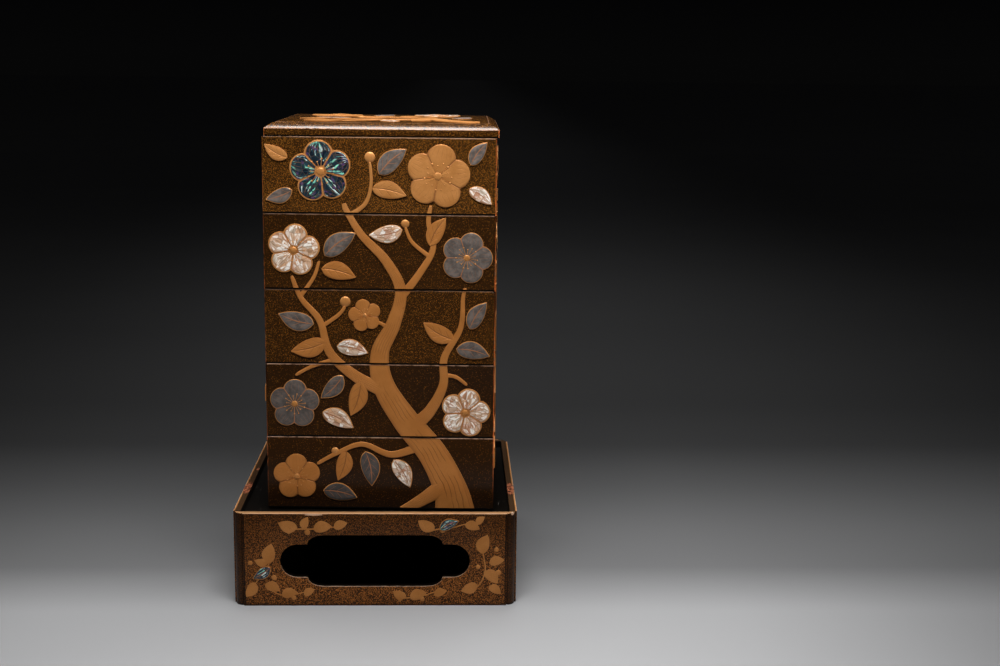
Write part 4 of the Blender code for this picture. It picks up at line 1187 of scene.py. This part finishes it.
PETALS = 5
PETAL_OFFSET = 0.53
PETAL_RADIUS = 0.47
PETAL_COLUMNS = 14
PETAL_GAP = 0.7 * MM
HEART_HOLE = 0.17
HEART_SUNK = 0.2 * MM
BOSS_RADIUS = 0.13
BOSS_HEIGHT = 0.75 * MM
STAMENS = 15
STAMEN_REACH = 0.42
STAMEN_SHORT = 0.78
TIP_RADIUS = 0.032
TIP_HEIGHT = 0.45 * MM
BLOSSOMS = [
    ("front", "gold", 0.5, 4.5, 0.42, 8),
    ("front", "abalone", -0.5, 4.55, 0.4, 24),
    ("front", "pearl", -0.74, 3.52, 0.34, 10),
    ("front", "pewter", 0.75, 3.44, 0.335, 0),
    ("front", "gold", -0.13, 2.66, 0.22, 30),
    ("front", "pewter", -0.75, 1.45, 0.33, 16),
    ("front", "pearl", 0.745, 1.35, 0.33, 4),
    ("front", "gold", -0.74, 0.44, 0.32, 20),
    ("right", "gold", 0.3, 4.5, 0.3, 12),
    ("right", "pewter", -0.6, 3.6, 0.25, 30),
    ("right", "gold", 0.74, 1.5, 0.25, 50),
    ("left", "gold", -0.06, 4.46, 0.29, 22),
    ("left", "pewter", -0.7, 2.42, 0.24, 4),
    ("back", "gold", -0.2, 3.5, 0.28, 40),
    ("lid", "gold", -0.6, 0.58, 0.38, 12),
    ("lid", "pearl", 0.54, 0.69, 0.34, 30),
]


def petal_sheet(radius, heart=0.0):
    """One petal along X, its sides on the lines where it meets its neighbours, domed in the middle."""
    widths = []
    places = []
    for column in range(PETAL_COLUMNS + 1):
        x = heart + (1 - heart) * math.sin(math.pi / 2 * column / PETAL_COLUMNS)
        wedge = x * math.tan(math.pi / PETALS)
        free = math.sqrt(max(PETAL_RADIUS ** 2 - (x - PETAL_OFFSET) ** 2, 0))
        widths.append(2 * radius * (wedge if x < PETAL_OFFSET else min(wedge, free)))
        places.append(radius * x)
    piece = sheet_of(PETAL_COLUMNS, SHEET_ROWS)
    crown({0.375: 0.14, 0.25: 0.22, 0.125: 0.26, 0: 0.28})
    shape_columns([max(width, 1e-6) for width in widths], places)
    for column, share in ((PETAL_COLUMNS, 0.0), (PETAL_COLUMNS - 1, 0.35), (PETAL_COLUMNS - 2, 0.7)):
        pick(lambda place, way: at(place.x, places[column]), "VERT")
        bpy.ops.transform.resize(value=(1, 1, share), center_override=(0, 0, 0))
    bpy.ops.mesh.select_all(action="SELECT")
    bpy.ops.mesh.remove_doubles(threshold=0.01 * MM)
    set_mode("OBJECT")
    return piece


def join(pieces, name):
    take(*pieces)
    bpy.ops.object.join()
    pieces[0].name = name
    return pieces[0]


def blossom_sheet(radius, turn, centre):
    """Five petals in a ring, joined along their sides."""
    petal = petal_sheet(radius)
    ring = [copy_of(petal, "petal", placed(centre.to_3d(), turn + 2 * math.pi * k / PETALS))
            for k in range(PETALS)]
    bpy.data.objects.remove(petal)
    piece = join(ring, "blossom")
    edit_all(piece)
    bpy.ops.mesh.remove_doubles(threshold=0.02 * MM)
    set_mode("OBJECT")
    return piece


def dome(radius, height, sides, place):
    """A low half-round dome on the plane of the picture."""
    let_go()
    bpy.ops.mesh.primitive_uv_sphere_add(segments=sides, ring_count=10, radius=1)
    piece = bpy.context.object
    edit_all(piece)
    bpy.ops.mesh.bisect(plane_co=(0, 0, -0.3), plane_no=(0, 0, -1), use_fill=True, clear_outer=True)
    set_mode("OBJECT")
    bpy.ops.object.shade_smooth_by_angle(angle=SMOOTH)
    piece.data.transform(Matrix.Translation(place) @ Matrix.Diagonal((radius, radius, height, 1)))
    return piece


stamen = dome(TIP_RADIUS, TIP_HEIGHT, 8, (STAMEN_REACH, 0, 0))
let_go()
bpy.ops.mesh.primitive_cube_add(size=1, location=(0.25, 0, 0.1 * MM), scale=(0.34, 0.016, 0.4 * MM))
bpy.ops.object.transform_apply()
stamen = join([stamen, bpy.context.object], "stamen")
ring = []
for k in range(STAMENS):
    reach = 1.0 if k % 3 else STAMEN_SHORT
    place = placed((0, 0, 0), 2 * math.pi * k / STAMENS) @ Matrix.Diagonal((reach, 1, 1, 1))
    ring.append(copy_of(stamen, "stamen", place))
ring.append(dome(BOSS_RADIUS, BOSS_HEIGHT, 20, (0, 0, 0)))
heart = join(ring, "heart")
heart.data.materials.append(GOLD)
bpy.data.objects.remove(stamen)


def heart_of(centre, radius, turn, level):
    """The stamens and boss of a blossom, resting on its petals."""
    place = placed((centre.x, centre.y, level + 0.25 * MM), turn + math.pi / STAMENS)
    return copy_of(heart, "heart", place @ Matrix.Diagonal((radius, radius, 1, 1)))


PETALLED_GOLD = engraved_gold("petalled gold", petal_lines, 0.5, 0.2 * MM)

counts = {}
for face, finish, across, height, share, turn in BLOSSOMS:
    centre = spot(face, across, height)
    radius = share * MOTIF
    way = math.radians(turn)
    if finish == "gold":
        piece = blossom_sheet(radius, way, centre)
        raise_up(piece, LOW_CREST, GOLD_ROOT, GOLD_ROUND, PETALLED_GOLD)
        gold_work[face] += [piece, heart_of(centre, radius, way, LOW_CREST - HEART_SUNK)]
        continue
    counts[finish] = counts.get(finish, 0) + 1
    node = f"{finish}_blossom_{counts[finish]}"
    gold_work[face].append(bed_from(blossom_sheet(radius + BED_EDGE, way, centre)))
    gold_work[face].append(heart_of(centre, radius, way, INLAY_EDGE - HEART_SUNK))
    material = FINISHES[finish](node.replace("_", " "), petal_lines)
    if finish == "pewter":
        piece = inlay_from(blossom_sheet(radius, way, centre), material)
        piece.name = f"{node}_plate"
        set_in(piece, node, face_place(face))
        continue
    shrink = 1 - PETAL_GAP / (PETAL_RADIUS * radius)
    middle = Matrix.Translation((PETAL_OFFSET * radius, 0, 0))
    petal = petal_sheet(radius, HEART_HOLE)
    petal.data.transform(middle @ Matrix.Diagonal((shrink, shrink, 1, 1)) @ middle.inverted())
    inlay_from(petal, material)
    for k in range(PETALS):
        place = placed(centre.to_3d(), way + 2 * math.pi * k / PETALS)
        piece = copy_of(petal, f"{node}_petal_{k + 1}_cut", place)
        set_in(piece, f"{node}_petal_{k + 1}", face_place(face))
    bpy.data.objects.remove(petal)
bpy.data.objects.remove(heart)


# The buds, round domes on the twigs, built up in the same gold lacquer as the leaves and polished
# smooth. Each stands on the tier or lid whose twig bears it.

BUDS = [
    ("front", -0.08, 4.74, 0.07),
    ("front", -0.3, 2.84, 0.07),
    ("front", 0.22, 3.88, 0.055),
    ("front", -0.4, 0.8, 0.05),
    ("right", 0.53, 1.91, 0.05),
    ("left", 0.22, 1.19, 0.05),
    ("back", 0.44, 2.32, 0.06),
    ("lid", -0.3, 0.27, 0.055),
]
BUD_HEIGHT = 1.35 * MM

for face, across, height, share in BUDS:
    place = spot(face, across, height)
    piece = dome(share * MOTIF, BUD_HEIGHT, 24, (place.x, place.y, 0))
    piece.data.materials.append(GOLD)
    gold_work[face].append(piece)


# The gold work of each tier and of the lid, cut through at the seams and at the corners, so that
# each tier lifts off with its own share of the picture.

RIM_MARGIN = 0.6 * MM
SIDE_MARGIN = 1.6 * MM


def cut_off(piece, point, way):
    edit_all(piece)
    bpy.ops.mesh.bisect(plane_co=point, plane_no=way, use_fill=True, clear_outer=True)
    set_mode("OBJECT")


def span(piece, axis):
    places = [vertex.co[axis] for vertex in piece.data.vertices]
    return min(places), max(places)


def share_of(piece, side, bottom, top):
    """The part of a piece of gold work that lies on one carrier, or nothing."""
    low, high = span(piece, 1)
    if high < bottom + 0.5 * MM or low > top - 0.5 * MM:
        return None
    part = copy_of(piece, "gold", Matrix())
    if low < bottom:
        cut_off(part, (0, bottom, 0), (0, -1, 0))
    if high > top:
        cut_off(part, (0, top, 0), (0, 1, 0))
    left, right = span(part, 0)
    if right > side:
        cut_off(part, (side, 0, 0), (1, 0, 0))
    if left < -side:
        cut_off(part, (-side, 0, 0), (-1, 0, 0))
    return part


carriers = []
for number in range(1, TIER_COUNT + 1):
    base = (number - 1) * TIER_PITCH
    carriers.append((f"tier_{number}", base + SEAM_BAND, base + TIER_BODY - RIM_MARGIN))
for carrier, bottom, top in [*carriers, ("lid", -LID_FIELD, LID_FIELD)]:
    parts = []
    for face, works in gold_work.items():
        if (face == "lid") != (carrier == "lid"):
            continue
        side = LID_FIELD if face == "lid" else half_width(face) - SIDE_MARGIN
        for work in works:
            part = share_of(work, side, bottom, top)
            if part and part.data.vertices:
                part.data.transform(face_place(face))
                parts.append(part)
    piece = join(parts, f"{carrier}_gold")
    bpy.ops.object.shade_smooth_by_angle(angle=SMOOTH)
    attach(piece, "root")
    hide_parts(carrier)
for works in gold_work.values():
    for work in works:
        bpy.data.objects.remove(work)


# The stand's sprigs, flat gold leaves and berries on fine stems, drawn thin on its front wall, and
# two leaves of abalone set among them. Distances are in millimetres on the wall.

SPRIG_THICKNESS = 0.25 * MM
SPRIG_WIDE = 1.25
STAND_LEAVES = [(72.28, 83.15, 24), (-111.0, 34.06, 214)]
STAND_LEAF_LENGTH = 19 * MM
SPRIG_LEAVES = [
    (58, 79, 152, 18), (88, 84, -20, 15), (99, 84, 44, 11),
    (-76, 80, 164, 19), (-70, 79, 70, 13), (-60, 79, 8, 18), (-40, 80, 22, 14),
    (-104, 44, 82, 20), (-105, 44, 168, 13), (-118, 24, 240, 17), (-108, 22, -24, 16),
    (-92, 11, 10, 16), (-70, 11, 30, 12),
    (104, 54, 72, 20), (112, 44, 12, 15), (108, 36, -46, 18), (100, 22, 204, 17), (112, 20, -34, 14),
    (34, 8, 18, 17), (30, 9, 156, 14), (58, 11, 20, 13),
]
SPRIG_BERRIES = [
    (66, 77.5, 2.6), (96, 80, 2.2), (-66, 75.5, 2.8), (-50, 84, 2.3), (-84, 76, 2.0), (-99, 29, 2.6),
    (-122, 44, 2.3), (-80, 8, 2.4), (121, 34, 2.8), (101, 40, 2.2), (119, 58, 2.3), (46, 7, 2.4),
    (24, 6, 2.0),
]
SPRIG_STEMS = [
    [(52, 76, 1.0), (62, 79, 1.3), (74, 80, 1.3), (88, 84, 1.1), (101, 86, 0.7)],
    [(-86, 78, 0.7), (-74, 79, 1.3), (-60, 79, 1.3), (-40, 81, 0.8)],
    [(-122, 18, 0.8), (-116, 25, 1.2), (-110, 33, 1.3), (-104, 43, 1.2), (-101, 54, 0.7)],
    [(-104, 17, 0.8), (-92, 11, 1.2), (-78, 12, 1.2), (-60, 17, 0.7)],
    [(96, 16, 0.8), (104, 24, 1.3), (108, 36, 1.4), (107, 48, 1.2), (104, 60, 0.7)],
    [(20, 8, 0.7), (32, 8, 1.2), (46, 10, 1.1), (64, 16, 0.7)],
]
WALL = Matrix.Translation((0, -STAND_DEPTH / 2, 0)) @ UPRIGHT


def strip_along(points, thickness):
    """A thin flat line along a route, as a brush leaves it."""
    route = smooth_route([Vector(point) * MM for point in points], 5)
    rims = []
    for i, here in enumerate(route):
        way = (route[min(i + 1, len(route) - 1)] - route[max(i - 1, 0)]).to_2d().normalized()
        rims.append(((here.x - way.y * here.z / 2, here.y + way.x * here.z / 2),
                     (here.x + way.y * here.z / 2, here.y - way.x * here.z / 2)))
    outline = [left for left, right in rims] + [right for left, right in rims[::-1]]
    drawn = drawn_line("stem", outline)
    drawn.dimensions = "2D"
    drawn.splines[0].use_cyclic_u = True
    drawn.fill_mode = "BOTH"
    drawn.extrude = thickness
    piece = linked("stem", drawn)
    take(piece)
    bpy.ops.object.convert(target="MESH")
    return piece


sprigs = []
for x, z, turn, length in SPRIG_LEAVES:
    piece = leaf("leaf", Vector((x, z)) * MM, math.radians(turn), length * MM, wide=SPRIG_WIDE)
    piece.data.transform(Matrix.Diagonal((1, 1, 0.2, 1)))
    sprigs.append(raise_up(piece, SPRIG_THICKNESS, SPRIG_THICKNESS, 0.1 * MM, GOLD))
for x, z, radius in SPRIG_BERRIES:
    sprigs.append(dome(radius * MM, 2 * SPRIG_THICKNESS, 20, (x * MM, z * MM, 0)))
for points in SPRIG_STEMS:
    sprigs.append(strip_along(points, SPRIG_THICKNESS))
for number, (x, z, turn) in enumerate(STAND_LEAVES, 1):
    way = math.radians(turn)
    stem = Vector((x, z)) * MM - STAND_LEAF_LENGTH / 2 * Vector((math.cos(way), math.sin(way)))
    sprigs.append(inlaid_leaf(f"stand_leaf_{number}", stem, way, STAND_LEAF_LENGTH, "abalone", WALL))
for piece in sprigs:
    piece.data.materials.clear()
sprigs = join(sprigs, "stand_sprigs")
sprigs.data.materials.append(gold_lacquer("sprig gold", 0.6))
sprigs.data.transform(WALL)
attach(sprigs, "root")
bpy.data.objects.remove(flat_leaf)

# The box round the CAD and round the dressed part.

size = {"cad": [list(corner) for corner in cad_box], "scene": [list(corner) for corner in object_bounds()]}
